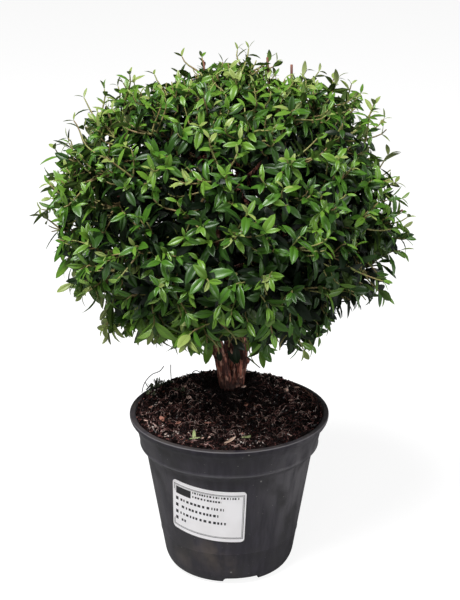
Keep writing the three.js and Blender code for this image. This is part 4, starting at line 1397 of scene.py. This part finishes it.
make_label()
ink_draw = np.random.default_rng(3)
make_print("sticker_frame", frame_marks(28.0, 19.8, 0.46), (0.03, 0.03, 0.032))
make_print("sticker_inner_frame", frame_marks(27.1, 18.9, 0.38), (0.16, 0.155, 0.16))
marks = [(-26.0, -13.0, 11.0, 17.8)]
marks += dashes(-11.6, 23.8, 17.0, 1.7, ink_draw, 1.7)
marks += dashes(-11.6, 10.8, 13.2, 1.7, ink_draw, 1.7)
# rows of small print, each with a bullet: level, start and end
print_rows = ((6.4, -21.8, 12.9), (0.2, -20.6, 9.2), (-6.2, -21.8, 16.2), (-12.2, -20.6, -15.9))
for level, start, end in print_rows:
    marks.append((-26.1, -23.7, level - 1.5, level + 1.5))
    marks += dashes(start, end, level, 2.2, ink_draw, 2.3)
make_print("sticker_ink", marks, (0.012, 0.012, 0.014))

# ------------------------------------------------------------------------------------------------
# The studio: a plain pale table top that runs out of sight, a big soft lamp over the left shoulder,
# weaker ones from the right and from low in front, and an even white surround.


def make_table():
    bpy.ops.mesh.primitive_plane_add(size=14, location=(0, 3, 0))
    table = bpy.context.active_object
    table.name = "table_top"
    material, tree, shader = new_material("white_table", (0.24, 0.24, 0.24), 0.8)
    shader.inputs["Specular IOR Level"].default_value = 0.1
    shader.inputs["Emission Color"].default_value = (1, 1, 1, 1)
    seen = add_node(tree, "ShaderNodeLightPath").outputs["Is Camera Ray"]
    tree.links.new(multiply(tree, seen, 0.88), shader.inputs["Emission Strength"])
    table.data.materials.append(material)


def make_lamp(name, place, size, power):
    lamp = bpy.data.lights.new(name, "AREA")
    lamp.shape = "DISK"
    lamp.size = size
    lamp.energy = power
    holder = bpy.data.objects.new(name, lamp)
    holder.location = place
    aim = Vector((0, 0, 0.25)) - Vector(place)
    holder.rotation_euler = aim.to_track_quat("-Z", "Y").to_euler()
    bpy.context.scene.collection.objects.link(holder)


def make_camera():
    """Looks down a little on the plant, from a good metre in front of it."""
    look_at = Vector((0.0006, 0, 0.2139))
    down, distance = math.radians(19.62), 1.14
    back = Vector((0, -math.cos(down), math.sin(down)))
    camera = bpy.data.cameras.new("camera")
    camera.sensor_width = 36
    camera.lens = 91.9
    holder = bpy.data.objects.new("camera", camera)
    holder.location = look_at + back * distance
    holder.rotation_euler = (-back).to_track_quat("-Z", "Y").to_euler()
    bpy.context.scene.collection.objects.link(holder)
    bpy.context.scene.camera = holder


make_table()
make_lamp("key_lamp", (-0.6, -0.9, 2.15), 1.0, 86)
make_lamp("side_lamp", (1.7, -0.5, 0.6), 0.9, 15)
make_lamp("front_lamp", (-0.6, -2.0, 0.7), 0.6, 9)
world = bpy.data.worlds.new("surround")
world.use_nodes = True
world.node_tree.nodes["Background"].inputs["Color"].default_value = (1, 1, 1, 1)
world.node_tree.nodes["Background"].inputs["Strength"].default_value = 0.085
bpy.context.scene.world = world
bpy.context.scene.view_settings.view_transform = "Standard"
make_camera()
